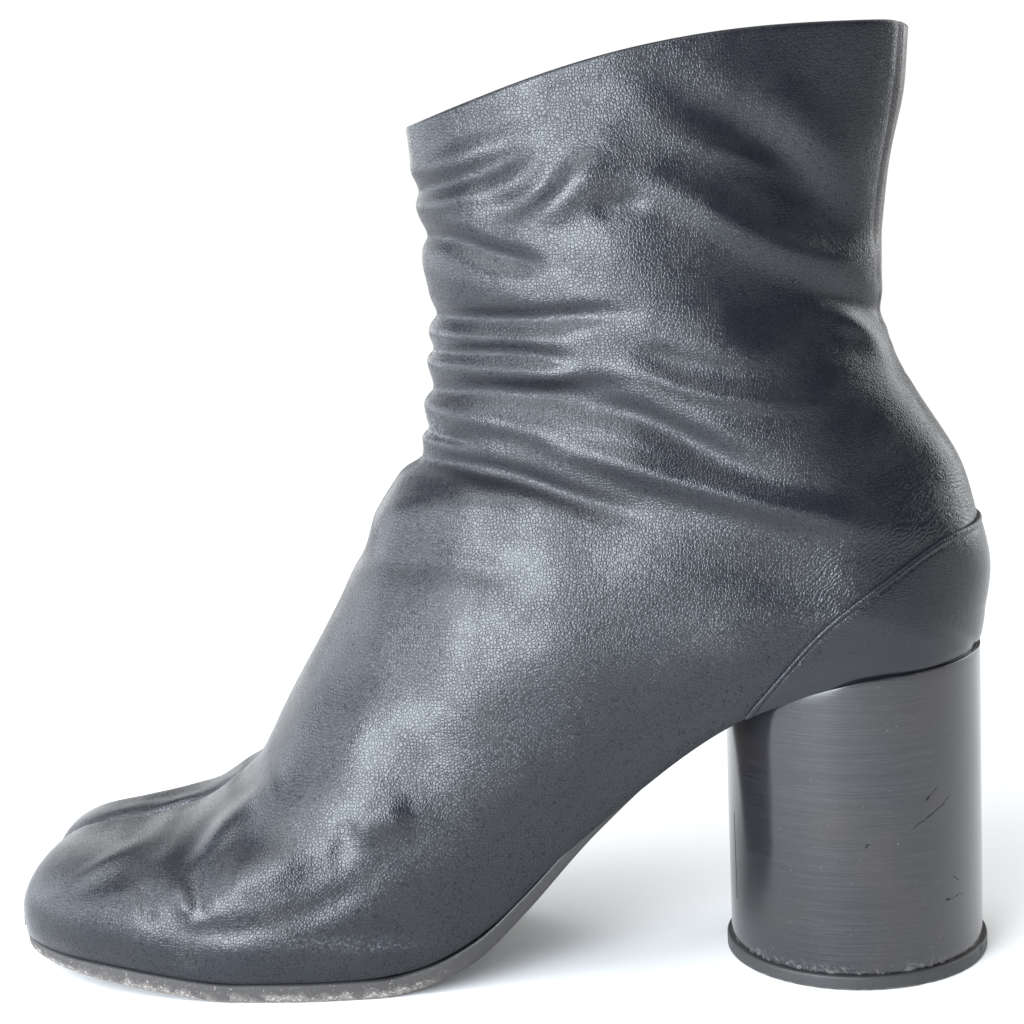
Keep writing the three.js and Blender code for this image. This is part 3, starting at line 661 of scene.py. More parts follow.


# Worn places, and painted shade in the creases of the toes: x, z, half width, half height in millimetres,
# and how strong it is.
PALE_SPOTS = [
    (-95, 152, 4, 7, 0.8),
    (-97, 131, 4, 4, 0.9),
    (-97, 168, 3, 4, 0.5),
    (-101, 123, 5, 3, 0.6),
    (-124, 15, 14, 1.3, 0.7),
    (-112, 13, 10, 1.0, 0.7),
    (-202, 12, 4, 5, 0.5),
    (-97, 197, 3, 3, 0.3),
]
# Painted shade where the creases of the toes run down towards the sole.
TOE_CREASE_SHADE = [
    (-174, 12, 4, 2.5, 0.9),
    (-163, 10, 5, 2, 0.4),
    (-152, 44, 5, 1.6, 0.7),
]

# Fine wrinkles over the counter: where they begin and end above its seam, and from where backwards.
WRINKLES_BEGIN, WRINKLES_END = (-2, 2), (12, 26)
WRINKLES_ALONG = (-24, 0)
FOOT_SEAM_SHARES = (0.0, 0.035)
STRIP_EDGE = (-0.8, 0.2)


def spots(x, z, places):
    return sum(strength * bell(x, middle_x, wide) * bell(z, middle_z, tall)
               for middle_x, middle_z, wide, tall, strength in places)


def leather_values(points, row, share, fold):
    """What the leather's finish reads at each point: folds, seams, wrinkles, worn places and painted shade
    in the toe creases.
    """
    x, y, z = points.T
    above_counter = z - counter_height(x)
    wrinkled = smooth_step(*WRINKLES_BEGIN, above_counter) * (1 - smooth_step(*WRINKLES_END, above_counter))
    wrinkled *= smooth_step(*WRINKLES_ALONG, x)
    foot_seam = np.where(row <= SEAT_ROW, 1 - smooth_step(*FOOT_SEAM_SHARES, share), 0)
    behind = near_back_seam(row, share)
    from_strip = abs(y) - back_strip(z)
    seam = np.maximum(foot_seam, behind * bell(from_strip, 0, BACK_SEAM["groove_width"]))
    return {
        "fold": fold, "wrinkle": wrinkled, "wrinkle_at": above_counter,
        "pale": np.clip(spots(x, z, PALE_SPOTS), 0, 1),
        # The dark reading holds the dark seams and the painted shade of the toe creases.
        "dark": np.clip(spots(x, z, TOE_CREASE_SHADE) + seam, 0, 1),
        "strip": behind * (1 - smooth_step(*STRIP_EDGE, from_strip)),
    }


RIM_RADIUS = UPPER_WALL / 2
RIM_STEPS = 8
FACING_ROWS = 12
FACING_BACK = 1.3
CAP_RINGS = 7
CAP_BULGE = 1.3


def build_upper():
    patch = Patch(points, quads.tolist(), leather_values(points, row_of, share_of, fold))
    add_collar(patch)
    for side in SIDES:
        add_toe_cap(patch, side)
        add_turned_edge(patch, side)
    return sheet_mesh("upper_leather", patch.points, patch.faces, patch.values)


def around_collar(down):
    """Vertex numbers once around the shaft, so many rows below the collar's edge."""
    return np.concatenate([index[-1][-1 - down], index[1][-1 - down][::-1][1:-1]])


def add_collar(patch):
    """Rolls the collar's edge over and lays a facing down inside it."""
    ring = around_collar(0)
    up = unit(plain_points[ring] - plain_points[around_collar(1)])
    out = plain_normals[ring]
    out = unit(out - up * np.sum(out * up, axis=1, keepdims=True))
    loops = []
    for angle in np.pi * np.arange(1, RIM_STEPS + 1) / RIM_STEPS:
        loops.append(points[ring] + RIM_RADIUS * (out * (np.cos(angle) - 1) + up * np.sin(angle)))
    for down in range(1, FACING_ROWS - 1):
        lower = around_collar(down)
        inside = points[lower] - UPPER_WALL * plain_normals[lower]
        inside[:, 0] += FACING_BACK * smooth_step(*CROWN_FADE, share_of[lower])
        apart = inner_side[lower]
        inside[:, 1] = apart * np.maximum(apart * inside[:, 1], 0)
        loops.append(inside)
    last = ring.tolist()
    for loop in loops:
        here = patch.add(loop, ring)
        patch.faces.extend(join_loops(here, last, closed=True))
        last = here


def add_toe_cap(patch, side):
    """Closes the tip of one toe pocket with a shallow dome down to the feather edge."""
    loop = index[side][0]
    edge = points[loop]
    foot = (edge[0] + edge[-1]) / 2
    last = list(loop)
    for k in range(1, CAP_RINGS):
        angle = (np.pi / 2) * k / CAP_RINGS
        ring = foot + (edge - foot) * np.cos(angle) + np.array([-CAP_BULGE * np.sin(angle), 0, 0])
        here = patch.add(ring, loop)
        patch.bridge(last, here, flip=side > 0)
        last = here
    tip = patch.add([foot + np.array([-CAP_BULGE, 0, 0])], loop[:1])[0]
    for a, b in zip(last[:-1], last[1:]):
        patch.faces.append((a, b, tip) if side < 0 else (a, tip, b))


# The edge that turns under the foot: how far in and how far down each of its columns lies.
TURNED_EDGE = [(0.3, 0.22), (1.0, 0.28), (2.4, 0.28)]
OUTLINE_STEP = 0.02


def outline(side, at_rows):
    """The feather edge of one side, and the level way outwards at each of its points."""
    here = skin(at_rows, side, [0.0])[:, 0]
    ahead = skin(np.minimum(at_rows + OUTLINE_STEP, SEAT_ROW), side, [0.0])[:, 0]
    behind = skin(np.maximum(at_rows - OUTLINE_STEP, 0), side, [0.0])[:, 0]
    way = unit((ahead - behind)[:, :2])
    return here, side * np.stack([-way[:, 1], way[:, 0], 0 * way[:, 0]], axis=1)


def add_turned_edge(patch, side):
    edge = index[side][:seat + 1, 0]
    _, outward = outline(side, rows[:seat + 1])
    last = list(edge)
    for inwards, down in TURNED_EDGE:
        ring = points[edge] - inwards * outward - np.array([0, 0, down])
        here = patch.add(ring, edge)
        patch.bridge(last, here, flip=side < 0)
        last = here


LINING_STRIDE = 2
LINING_DEPTH = 3.6
LINING_ABOVE_WEB = 6
LINING_OVERLAP = 3
FRONT_CLEARANCE = 4.2
FRONT_FADE = (0.60, 0.75)


def build_lining():
    """The lining lies inside the leather's hollows, from the facing down to the footbed."""
    front = FRONT_CLEARANCE * smooth_step(*FRONT_FADE, share_of)
    inside = plain_points - LINING_DEPTH * plain_normals + front[:, None] * backwards(row_of)
    middle = section_curves["mid"](row_of)
    inside[:, 1] = middle + inner_side * np.maximum(inner_side * (inside[:, 1] - middle), 0)
    keep_rows = np.arange(web + LINING_ABOVE_WEB, len(rows) - FACING_ROWS + LINING_OVERLAP, LINING_STRIDE)
    columns = np.unique(np.append(np.arange(0, len(shares), LINING_STRIDE), len(shares) - 1))
    faces = np.concatenate([quads_of(index[side][np.ix_(keep_rows, columns)], side)[:, ::-1]
                            for side in SIDES])
    used, faces_used = np.unique(faces, return_inverse=True)
    return sheet_mesh("lining", inside[used], faces_used.reshape(faces.shape))


COUNTER_COLUMNS = 300
COUNTER_AXIS = (-4.0, 0.0)
COUNTER_TURN = 127.0
COUNTER_FOOT = 0.45
COUNTER_DROP = 0.4
COUNTER_CURL = 0.5

# The counter's leather from its folded edge downwards: distance from the edge, and how far it
# stands off the upper, in millimetres.
COUNTER_EDGE = monotone(
    [0.0, 0.12, 0.4, 0.9, 1.35, 1.7, 2.3, 4.0, 60.0],
    [-0.25, 0.45, 0.85, 0.95, 0.85, 0.55, 0.66, 0.7, 0.7])
COUNTER_DEPTHS = np.array([0.0, 0.12, 0.25, 0.4, 0.6, 0.9, 1.15, 1.35, 1.55, 1.7, 1.95, 2.3, 2.8, 3.4, 4.2])
COUNTER_ROWS = 40
COUNTER_LEAST = 0.6
SEAT_TUCK = 2.6
RAY_LENGTH = 90
SETTLE_STEPS = 24


def counter_depths(tall):
    """Distances down from the counter's edge: close together at the edge, even below it."""
    near = COUNTER_DEPTHS[COUNTER_DEPTHS < tall * 0.5]
    return np.concatenate([near, np.linspace(near[-1], tall, COUNTER_ROWS - len(near) + 1)[1:]])


def build_counter():
    """Lays the counter on the upper along rays that run level out of the heel."""
    upper = BVHTree.FromPolygons([Vector(p) for p in points], [list(map(int, q)) for q in quads])

    def hit(way, z):
        place, normal, _, _ = upper.ray_cast(Vector((*COUNTER_AXIS, z)), way, RAY_LENGTH)
        return place, normal

    def settle(way, height_at, start):
        """The height where a curve given over x crosses the upper in this direction."""
        z = start
        for _ in range(SETTLE_STEPS):
            place, _ = hit(way, z)
            z += 1.0 if place is None else 0.5 * (height_at(place.x) - z)
        return z

    def foot_height(x):
        return float(underside(min(x, SEAT_BACK))) + COUNTER_FOOT

    grid, edge, foot_away = [], [], []
    for turn in np.radians(np.linspace(-COUNTER_TURN, COUNTER_TURN, COUNTER_COLUMNS)):
        way = Vector((math.cos(turn), math.sin(turn), 0))
        top = settle(way, lambda x: float(counter_height(x)), counter_top)
        tall = top - settle(way, foot_height, top)
        if tall < COUNTER_LEAST:
            continue
        depths = counter_depths(tall)
        for depth in depths:
            found = hit(way, top - depth)
            place, normal = (place, normal) if found[0] is None else found
            tuck = float(smooth_step(SEAT_TUCK, 0, tall - depth))
            off = (way + normal).normalized() * float(COUNTER_EDGE(depth))
            curl = way * (COUNTER_CURL * tuck * tuck) + Vector((0, 0, COUNTER_DROP * tuck))
            grid.append(tuple(place + off - curl))
        edge.extend(depths)
        foot_away.extend(tall - depths)
    numbers = np.arange(len(grid)).reshape(-1, COUNTER_ROWS)
    faces = np.stack([numbers[:-1, :-1], numbers[:-1, 1:], numbers[1:, 1:], numbers[1:, :-1]], -1)
    return sheet_mesh("counter_leather", grid, faces.reshape(-1, 4), {"edge": edge, "foot": foot_away})


# The sole and the footbed: thin layers with rounded edges, split at the toes.
EDGE_STEPS = np.array([0.0, 0.06, 0.2, 0.4, 0.75, 1.2, 1.9])
EDGE_ROUND = 0.55
FILL_STEPS = np.array([0.25, 0.5, 0.75])
WALL_STEPS = np.array([0.2, 0.4, 0.6, 0.8])
TIP_STEPS = 7
LAYER_ROWS = 240
FINE_LAYER_ROWS = 4001
NARROW_SHARE = 0.45
WELD_GAP = 0.002


def rounding(depth, radius):
    """How far a rounded edge falls away at a place this deep inside it."""
    inside = np.clip(1 - depth / np.maximum(radius, 1e-6), 0, 1)
    return radius * (1 - np.sqrt(np.maximum(1 - inside ** 2, 0)))


def layer_rows():
    """Row numbers that lie evenly along the sole's edge, with one at the web."""
    fine = np.linspace(0, SEAT_ROW, FINE_LAYER_ROWS)
    path = skin(fine, -1, [0.0])[:, 0]
    walk = np.concatenate([[0], np.cumsum(np.linalg.norm(np.diff(path, axis=0), axis=1))])
    at = np.interp(np.linspace(0, walk[-1], LAYER_ROWS), walk, fine)
    at[np.argmin(abs(at - WEB_ROW))] = WEB_ROW
    return at


def steps_across(width):
    """Distances in from a layer's outer edge, close together at both of its edges."""
    near = EDGE_STEPS[None, :] * np.minimum(1, NARROW_SHARE * width / EDGE_STEPS[-1])[:, None]
    fill = near[:, -1:] + (width[:, None] - 2 * near[:, -1:]) * FILL_STEPS[None, :]
    return np.concatenate([near, fill, width[:, None] - near[:, ::-1]], axis=1)


def with_tip(x, y, depth, reach):
    """Adds the rows that round off a layer's front end."""
    centre = y[:1].mean()
    sheets = [(x, y, depth)]
    for angle in (np.pi / 2) * np.arange(1, TIP_STEPS + 1) / TIP_STEPS:
        ahead = x[:1] - reach * np.sin(angle)
        squeezed = centre + (y[:1] - centre) * np.cos(angle)
        sheets.insert(0, (ahead, squeezed, np.minimum(depth[:1], reach * (1 - np.sin(angle)))))
    return (np.concatenate([sheet[k] for sheet in sheets]) for k in range(3))


def loops_round(x, y, high, low):
    """Rings of points over a layer's top, down its inner edge, back below and up its outer edge."""
    def wall(end, levels):
        return np.stack([np.stack([x[:, end], y[:, end], low[:, end] + (high - low)[:, end] * level], -1)
                         for level in levels], 1)

    below = np.stack([x, y, low], -1)[:, ::-1]
    down, up = wall(-1, 1 - WALL_STEPS), wall(0, (1 - WALL_STEPS)[::-1])
    return np.concatenate([np.stack([x, y, high], -1), down, below, up], axis=1)


def layer_side(side, at, edge, top, bottom, round_top, round_bottom, tip_reach, cleft_edge):
    """One half of a layer as rings of points, and how many columns its top has."""
    toes = at < WEB_ROW
    outer, outward = outline(side, at)
    outer = outer + outward * edge(outer[:, 0])[:, None]
    inner = skin(at, side, [1.0])[:, 0].copy()
    inner[:, 0] = skin(at, side, [0.0])[:, 0, 0]
    inner[:, 1] = section_curves["mid"](at) + side * section_curves["open"](at)
    inner[toes, 1] -= side * cleft_edge
    width = np.maximum(abs(outer[:, 1] - inner[:, 1]), 1e-3)
    across = steps_across(width)
    depth = np.where(toes[:, None], np.minimum(across, width[:, None] - across), across)
    share = across / width[:, None]
    x = outer[:, :1] + (inner[:, :1] - outer[:, :1]) * share
    y = outer[:, 1:2] + (inner[:, 1:2] - outer[:, 1:2]) * share
    x, y, depth = with_tip(x, y, depth, tip_reach)
    along = np.clip(x, TOE_TIP, SEAT_BACK)
    high = top(along) - rounding(depth, round_top(along))
    low = bottom(along) + rounding(depth, round_bottom(along))
    return loops_round(x, y, high, low), x.shape[1]


def layer(name, top, bottom, **shape):
    """A layer under the foot. Its edge, top, bottom and roundings are functions of the place along."""
    at = layer_rows()
    points, faces = [], []
    for side in SIDES:
        loop, columns = layer_side(side, at, top=top, bottom=bottom, **shape)
        count, around = loop.shape[:2]
        number = len(points) + np.arange(count * around).reshape(count, around)
        points.extend(loop.reshape(-1, 3))
        joined = range(columns - 1, columns + len(WALL_STEPS))
        for r in range(count - 1):
            behind_web = at[max(r - TIP_STEPS, 0)] >= WEB_ROW
            for c in range(around):
                if c in joined and behind_web:
                    continue
                ahead = (c + 1) % around
                face = (number[r, c], number[r, ahead], number[r + 1, ahead], number[r + 1, c])
                faces.append(face[::-1] if side > 0 else face)
    points = np.array(points)
    along = np.clip(points[:, 0], TOE_TIP, SEAT_BACK)
    measures = {"under": bottom(along), "below": top(along) - points[:, 2]}
    return cleaned(sheet_mesh(name, points, faces, measures))


def cleaned(piece):
    """Joins points that lie on each other and turns the faces outwards."""
    work = bmesh.new()
    work.from_mesh(piece.data)
    bmesh.ops.remove_doubles(work, verts=work.verts, dist=WELD_GAP * MM)
    bmesh.ops.recalc_face_normals(work, faces=work.faces)
    work.to_mesh(piece.data)
    work.free()
    piece.data.shade_smooth()
    return piece


WORN_MIDDLE, WORN_HALF = -150, 40
WORN_DEPTH = 0.9
ARCH_FADE = (-80, -50)
ARCH_TUCK = 1.1
TIP_FADE = 22
TIP_TUCK = 0.8
TIP_LIFT = 1.3
SOLE_FILL = 0.1
SOLE_TIP_REACH, SOLE_CLEFT_EDGE = 0.9, 0.2
FOOTBED_INSET = 1.9
FOOTBED_SEAM = 0.05
FOOTBED_TIP_REACH = 0.6
FOOTBED_ROUND, FOOTBED_UNDER_ROUND = 0.5, 0.1


def worn(x):
    return bell(x, WORN_MIDDLE, WORN_HALF)


def tip(x):
    return 1 - smooth_step(TOE_TIP, TOE_TIP + TIP_FADE, x)


def build_outsole():
    return layer(
        "outsole_leather",
        top=lambda x: sole_top(x) + SOLE_FILL,
        bottom=underside,
        edge=lambda x: SOLE_EDGE - ARCH_TUCK * smooth_step(*ARCH_FADE, x) - TIP_TUCK * tip(x),
        round_top=lambda x: EDGE_ROUND,
        round_bottom=lambda x: EDGE_ROUND + WORN_DEPTH * worn(x) + TIP_LIFT * tip(x),
        tip_reach=SOLE_TIP_REACH, cleft_edge=SOLE_CLEFT_EDGE)


def build_insole():
    return layer(
        "footbed",
        top=lambda x: feather(x) + INSOLE_THICKNESS,
        bottom=lambda x: feather(x) + FOOTBED_SEAM,
        edge=lambda x: -FOOTBED_INSET + 0 * x,
        round_top=lambda x: FOOTBED_ROUND,
        round_bottom=lambda x: FOOTBED_UNDER_ROUND,
        tip_reach=FOOTBED_TIP_REACH, cleft_edge=-FOOTBED_INSET)


HEEL_AROUND = 256
HEEL_BEVEL = 0.25
HEEL_LEVELS = 30
BEVEL_STEPS = 5
END_RINGS = (0.05, 0.3, 0.6, 0.85)
BLOCK_SEAM = 0.06
LIFT_BEVEL = 0.45
LIFT_RINGS = (0.05, 0.5, 0.9)
LIFT_LEVELS = (0.25, 0.5, 0.75)

# Bruises of the lift's rim: the share of the radius where they begin, and for each its depth, its
# turn and spread in degrees, and its height and spread.
BRUISE_REACH = 0.9
LIFT_BRUISES = [(0.5, -24, 2.2, 2.6, 0.9), (0.25, -61, 1.6, 0.4, 0.8)]


def lathe(name, profile, place):
    """A turned piece: profile is a list of (radius, height), and place moves its points."""
    around = HEEL_AROUND
    turn = 2 * np.pi * np.arange(around) / around
    points = np.concatenate([np.stack([radius * np.cos(turn), radius * np.sin(turn), height + 0 * turn], -1)
                             for radius, height in profile])
    rings = np.arange(len(profile) * around).reshape(-1, around).tolist()
    faces = []
    for lower, upper in zip(rings, rings[1:]):
        faces.extend(join_loops(lower, upper, closed=True))
    faces.extend([rings[0][::-1], rings[-1]])
    return sheet_mesh(name, place(points), faces)


def end_rings(radius, bevel, shares):
    """Rings over a round piece's flat end and its bevelled rim, from the middle outwards."""
    arc = np.linspace(0, np.pi / 2, BEVEL_STEPS)
    rim = [(radius - bevel * (1 - math.sin(a)), bevel * (1 - math.cos(a))) for a in arc]
    return [(radius * share, 0.0) for share in shares] + rim


def build_heel_block():
    foot = LIFT_HEIGHT + BLOCK_SEAM
    levels = np.linspace(0, 1, HEEL_LEVELS)[1:-1]
    end = end_rings(HEEL_RADIUS, HEEL_BEVEL, END_RINGS)

    def place(points):
        """Stands the rings up between the lift and the sloping underside of the seat."""
        rings = points.reshape(-1, HEEL_AROUND, 3)
        top = underside(np.clip(rings[..., 0], TOE_TIP, SEAT_BACK)) - BLOCK_SEAM
        for k, ring in enumerate(rings):
            on_wall = k - len(end)
            if on_wall < 0:
                ring[:, 2] += foot
            elif on_wall < len(levels):
                low, high = foot + HEEL_BEVEL, top[k] - HEEL_BEVEL
                ring[:, 2] = low + (high - low) * levels[on_wall]
            else:
                ring[:, 2] = top[k] - ring[:, 2]
        return rings.reshape(-1, 3)

    return lathe("heel_lacquer", end + [(HEEL_RADIUS, 0.0)] * len(levels) + end[::-1], place)


def build_lift():
    end = end_rings(LIFT_RADIUS, LIFT_BEVEL, LIFT_RINGS)
    wall = [(LIFT_RADIUS, LIFT_BEVEL + (LIFT_HEIGHT - 2 * LIFT_BEVEL) * level) for level in LIFT_LEVELS]

    def place(points):
        """Presses the bruises into the rim."""
        x, y, z = points.T
        turn = np.degrees(np.arctan2(y, x))
        bruise = sum(depth * bell(turn, middle, spread) * bell(z, height, tall)
                     for depth, middle, spread, height, tall in LIFT_BRUISES)
        rim = smooth_step(BRUISE_REACH * LIFT_RADIUS, LIFT_RADIUS, np.hypot(x, y))
        points[:, :2] *= 1 - (bruise * rim / LIFT_RADIUS)[:, None]
        return points

    return lathe("lift_rubber", end + wall + [(r, LIFT_HEIGHT - h) for r, h in end[::-1]], place)


class Finish:
    """A material's nodes, put together step by step."""

    def __init__(self, name):
        self.material = bpy.data.materials.new(name)
        self.material.use_nodes = True
        self.tree = self.material.node_tree
        self.surface = self.tree.nodes["Principled BSDF"]

    def node(self, kind, settings=None, **inputs):
        made = self.tree.nodes.new(kind)
        for key, value in (settings or {}).items():
            setattr(made, key, value)
        for key, value in inputs.items():
            self.feed(made, key, value)
        return made

    def feed(self, node, key, value):
        socket = node.inputs[int(key[1:])] if key[0] == "_" and key[1:].isdigit() else node.inputs[key]
        if isinstance(value, bpy.types.NodeSocket):
            self.tree.links.new(value, socket)
        elif isinstance(value, (tuple, list)):
            socket.default_value = (*value, 1.0) if len(socket.default_value) > len(value) else value
        else:
            socket.default_value = value

    def math(self, how, first, second=0.0, clamp=False):
        made = self.node("ShaderNodeMath", {"operation": how, "use_clamp": clamp}, _0=first, _1=second)
        return made.outputs[0]

    def times(self, first, second):
        return self.math("MULTIPLY", first, second)

    def plus(self, first, second):
        return self.math("ADD", first, second)

    def minus(self, first, second):
        return self.math("SUBTRACT", first, second)

    def vector(self, how, first, second):
        made = self.node("ShaderNodeVectorMath", {"operation": how}, _0=first, _1=second)
        return made.outputs[0]

    def place(self):
        """The point on the piece in millimetres."""
        coords = self.node("ShaderNodeTexCoord")
        return self.vector("MULTIPLY", coords.outputs["Object"], (1 / MM,) * 3)

    def noise(self, at, scale, detail, rough=0.5):
        made = self.node("ShaderNodeTexNoise", Vector=at, Scale=scale, Detail=detail, Roughness=rough)
        return made.outputs["Fac"]

    def warped(self, at, scale, reach):
        made = self.node("ShaderNodeTexNoise", Vector=at, Scale=scale, Detail=1.0)
        shift = self.vector("SUBTRACT", made.outputs["Color"], (0.5, 0.5, 0.5))
        return self.vector("ADD", at, self.vector("MULTIPLY", shift, (reach, reach, reach)))

    def border(self, at, scale, loose):
        """The distance to the nearest border between loosely placed cells."""
        made = self.node("ShaderNodeTexVoronoi", {"feature": "DISTANCE_TO_EDGE"}, Vector=at, Scale=scale,
                         Randomness=loose)
        return made.outputs["Distance"]

    def span(self, value, low, high, to_low=0.0, to_high=1.0):
        """A smooth passage between two results, while the value goes from low to high."""
        made = self.node("ShaderNodeMapRange", {"interpolation_type": "SMOOTHSTEP"})
        for key, item in zip(("Value", "From Min", "From Max", "To Min", "To Max"),
                             (value, low, high, to_low, to_high)):
            self.feed(made, key, item)
        return made.outputs[0]

    def reading(self, name):
        made = self.node("ShaderNodeAttribute", {"attribute_name": name})
        return made.outputs["Fac"]

    def mix(self, share, first, second):
        made = self.node("ShaderNodeMix", {"data_type": "RGBA"})
        self.feed(made, "_0", share)
        self.feed(made, "_6", first)
        self.feed(made, "_7", second)
        return made.outputs[2]

    def bump(self, height, tall=1.0):
        """Raises the surface by height times tall millimetres."""
        return self.node("ShaderNodeBump", Height=height, Distance=tall * MM).outputs[0]

    def set(self, **inputs):
        for key, value in inputs.items():
            self.feed(self.surface, key.replace("_", " "), value)
        return self.material


# Colours of the finishes.
LEATHER_DEEP = (0.003, 0.0033, 0.005)
LEATHER_FACE = (0.0068, 0.0078, 0.0118)
LEATHER_PALE = (0.15, 0.155, 0.17)
LEATHER_BROWN = (0.012, 0.011, 0.012)
STRIP_BROWN = (0.030, 0.024, 0.026)
SEAM_DARK = (0.004, 0.0045, 0.006)
LINING_DEEP, LINING_PALE = (0.42, 0.33, 0.24), (0.54, 0.44, 0.33)
SOLE_WAX_DEEP, SOLE_WAX_PALE = (0.014, 0.013, 0.013), (0.030, 0.026, 0.024)
SOLE_WORN_HIGH, SOLE_WORN_LOW = (0.045, 0.041, 0.040), (0.12, 0.108, 0.098)
SOLE_GRIT = (0.38, 0.34, 0.31)
HEEL_DEEP, HEEL_PALE = (0.009, 0.009, 0.011), (0.022, 0.022, 0.025)
HEEL_BROWN = (0.030, 0.022, 0.019)
HEEL_SPECK = (0.26, 0.26, 0.27)
HEEL_SCRATCH = (0.006, 0.006, 0.007)
HEEL_WORN = (0.16, 0.15, 0.145)
LIFT_DEEP, LIFT_PALE = (0.016, 0.016, 0.017), (0.040, 0.039, 0.038)
LIFT_DUST = (0.30, 0.28, 0.25)

# Noises of the finishes: waves in a millimetre, how many finer layers, and how strong these are.
SWELLS = (0.22, 2.0)
PATCHES = (0.09, 1.0)
WRINKLE_WAVES = (0.30, 2.0)
SCUFF_SPECKS = (1.4, 3.0, 0.7)
LINING_GRAIN, LINING_PATCHES = (1.8, 4.0, 0.6), (0.12, 3.0)
SOLE_SPECKS, SOLE_RAGS, SOLE_PATCHES = (1.5, 4.0, 0.7), (0.35, 3.0), (0.7, 3.0)
HEEL_LINES, HEEL_SPECKS = (2.6, 5.0, 0.7), (2.0, 2.0, 0.7)
HEEL_SWELLS, HEEL_RAGS, HEEL_CHIPS = (0.05, 1.0), (1.1, 2.0), (0.7, 4.0, 0.7)
LIFT_PATCHES, LIFT_SPECKS, LIFT_GRAIN = (0.8, 4.0, 0.7), (0.6, 4.0), (1.5, 4.0, 0.7)

# The leather: sizes and depths in millimetres, and spans of a value with what they lead to.
GRAIN_SIZE = 0.76
GRAIN_LOOSENESS = 0.78
GRAIN_WARP = (0.5, 0.9)
GRAIN_DEPTH = 0.036
GRAIN_SPAN, CRACK_SPAN = (0.0, 0.26), (0.10, 0.0)
CRACK_SHADE = 0.5
CRACK_ROUGH = 0.12
SOFT_DEPTH = 0.08
WRINKLE_STEP = 1.25
WRINKLE_DEPTH = 0.028
WRINKLE_WANDER = 24.0
LEATHER_ROUGH = 0.255
LEATHER_SHINE = 0.5
PATCH_DEPTH = (0.3, 0.7, 0.6 * GRAIN_DEPTH, GRAIN_DEPTH)
PATCH_BROWN = (0.40, 0.75, 0.0, 0.25)
PATCH_ROUGH = (0.3, 0.75, -0.03, 0.06)
FOLD_ROUGH = (-0.2, -1.8, 0.0, 0.10)
STRIP_SHARE = 0.8
SCUFF_SPAN, SCUFF_SHARE = (0.45, 0.7), 0.7
SEAM_SHARE, SEAM_ROUGH = 0.85, 0.25
COUNTER_ROUGH = LEATHER_ROUGH - 0.03
COUNTER_GRAIN_SIZE = 0.85 * GRAIN_SIZE
EDGE_STRETCH, FOOT_STRETCH = (1.5, 9.0, 1.0, 0.5), (2.0, 9.0, 0.2, 1.0)
GROOVE_BELOW, GROOVE_ABOVE = (2.1, 1.6), (1.2, 1.5)
LINING_ROUGH, LINING_DEPTH_OF_GRAIN = 0.6, 0.05


def grain(f, at, size):
    """Flat grains of leather with narrow cracks: how high a place stands, and how much it is a crack."""
    edge = f.border(f.warped(at, *GRAIN_WARP), 1 / size, GRAIN_LOOSENESS)
    return f.span(edge, *GRAIN_SPAN), f.span(edge, *CRACK_SPAN)


def creased(f, at, grains):
    """The leather's height: its grains on soft low swells."""
    return f.plus(grains, f.times(f.noise(at, *SWELLS), SOFT_DEPTH))


def crack_shaded(f, crack):
    """The leather's colour and shine, both less in its cracks."""
    shade = f.times(crack, CRACK_SHADE)
    return f.mix(shade, LEATHER_FACE, LEATHER_DEEP), f.times(LEATHER_SHINE, f.minus(1.0, shade))


def leather(name):
    """Grained leather with wrinkles over the counter, worn places, painted shade in the toe creases and dark
    seams.
    """
    f = Finish(name)
    at = f.place()
    plateau, crack = grain(f, at, GRAIN_SIZE)
    patches = f.noise(at, *PATCHES)
    height = creased(f, at, f.times(plateau, f.span(patches, *PATCH_DEPTH)))
    wave = f.times(f.reading("wrinkle_at"), 2 * math.pi / WRINKLE_STEP)
    wave = f.plus(wave, f.times(f.noise(at, *WRINKLE_WAVES), WRINKLE_WANDER))
    wrinkles = f.times(f.math("SINE", wave), f.times(f.reading("wrinkle"), WRINKLE_DEPTH))
    colour, shine = crack_shaded(f, crack)
    colour = f.mix(f.span(patches, *PATCH_BROWN), colour, LEATHER_BROWN)
    colour = f.mix(f.times(f.reading("strip"), STRIP_SHARE), colour, STRIP_BROWN)
    pale = f.times(f.reading("pale"), f.span(f.noise(at, *SCUFF_SPECKS), *SCUFF_SPAN))
    colour = f.mix(f.times(pale, SCUFF_SHARE), colour, LEATHER_PALE)
    # Painted shade of the toe creases darkens the colour here, together with the dark seams.
    dark = f.reading("dark")
    colour = f.mix(f.times(dark, SEAM_SHARE), colour, SEAM_DARK)
    rough = f.plus(LEATHER_ROUGH, f.times(crack, CRACK_ROUGH))
    rough = f.plus(rough, f.times(dark, SEAM_ROUGH))
    rough = f.plus(rough, f.span(f.reading("fold"), *FOLD_ROUGH))
    rough = f.plus(rough, f.span(patches, *PATCH_ROUGH))
    return f.set(Base_Color=colour, Roughness=rough, Normal=f.bump(f.plus(height, wrinkles)),
                 Specular_IOR_Level=shine)


def counter_leather(name):
    """The same leather pulled smooth towards its folded edge and its foot."""
    f = Finish(name)
    at = f.place()
    plateau, crack = grain(f, at, COUNTER_GRAIN_SIZE)
    from_edge = f.reading("edge")
    stretched = f.times(f.span(from_edge, *EDGE_STRETCH), f.span(f.reading("foot"), *FOOT_STRETCH))
    height = creased(f, at, f.times(f.times(plateau, stretched), GRAIN_DEPTH))
    crack = f.times(crack, stretched)
    colour, shine = crack_shaded(f, crack)
    groove = f.times(f.span(from_edge, *GROOVE_BELOW), f.span(from_edge, *GROOVE_ABOVE))
    colour = f.mix(f.times(groove, SEAM_SHARE), colour, SEAM_DARK)
    rough = f.plus(COUNTER_ROUGH, f.times(crack, CRACK_ROUGH))
    return f.set(Base_Color=colour, Roughness=rough, Normal=f.bump(height), Specular_IOR_Level=shine)


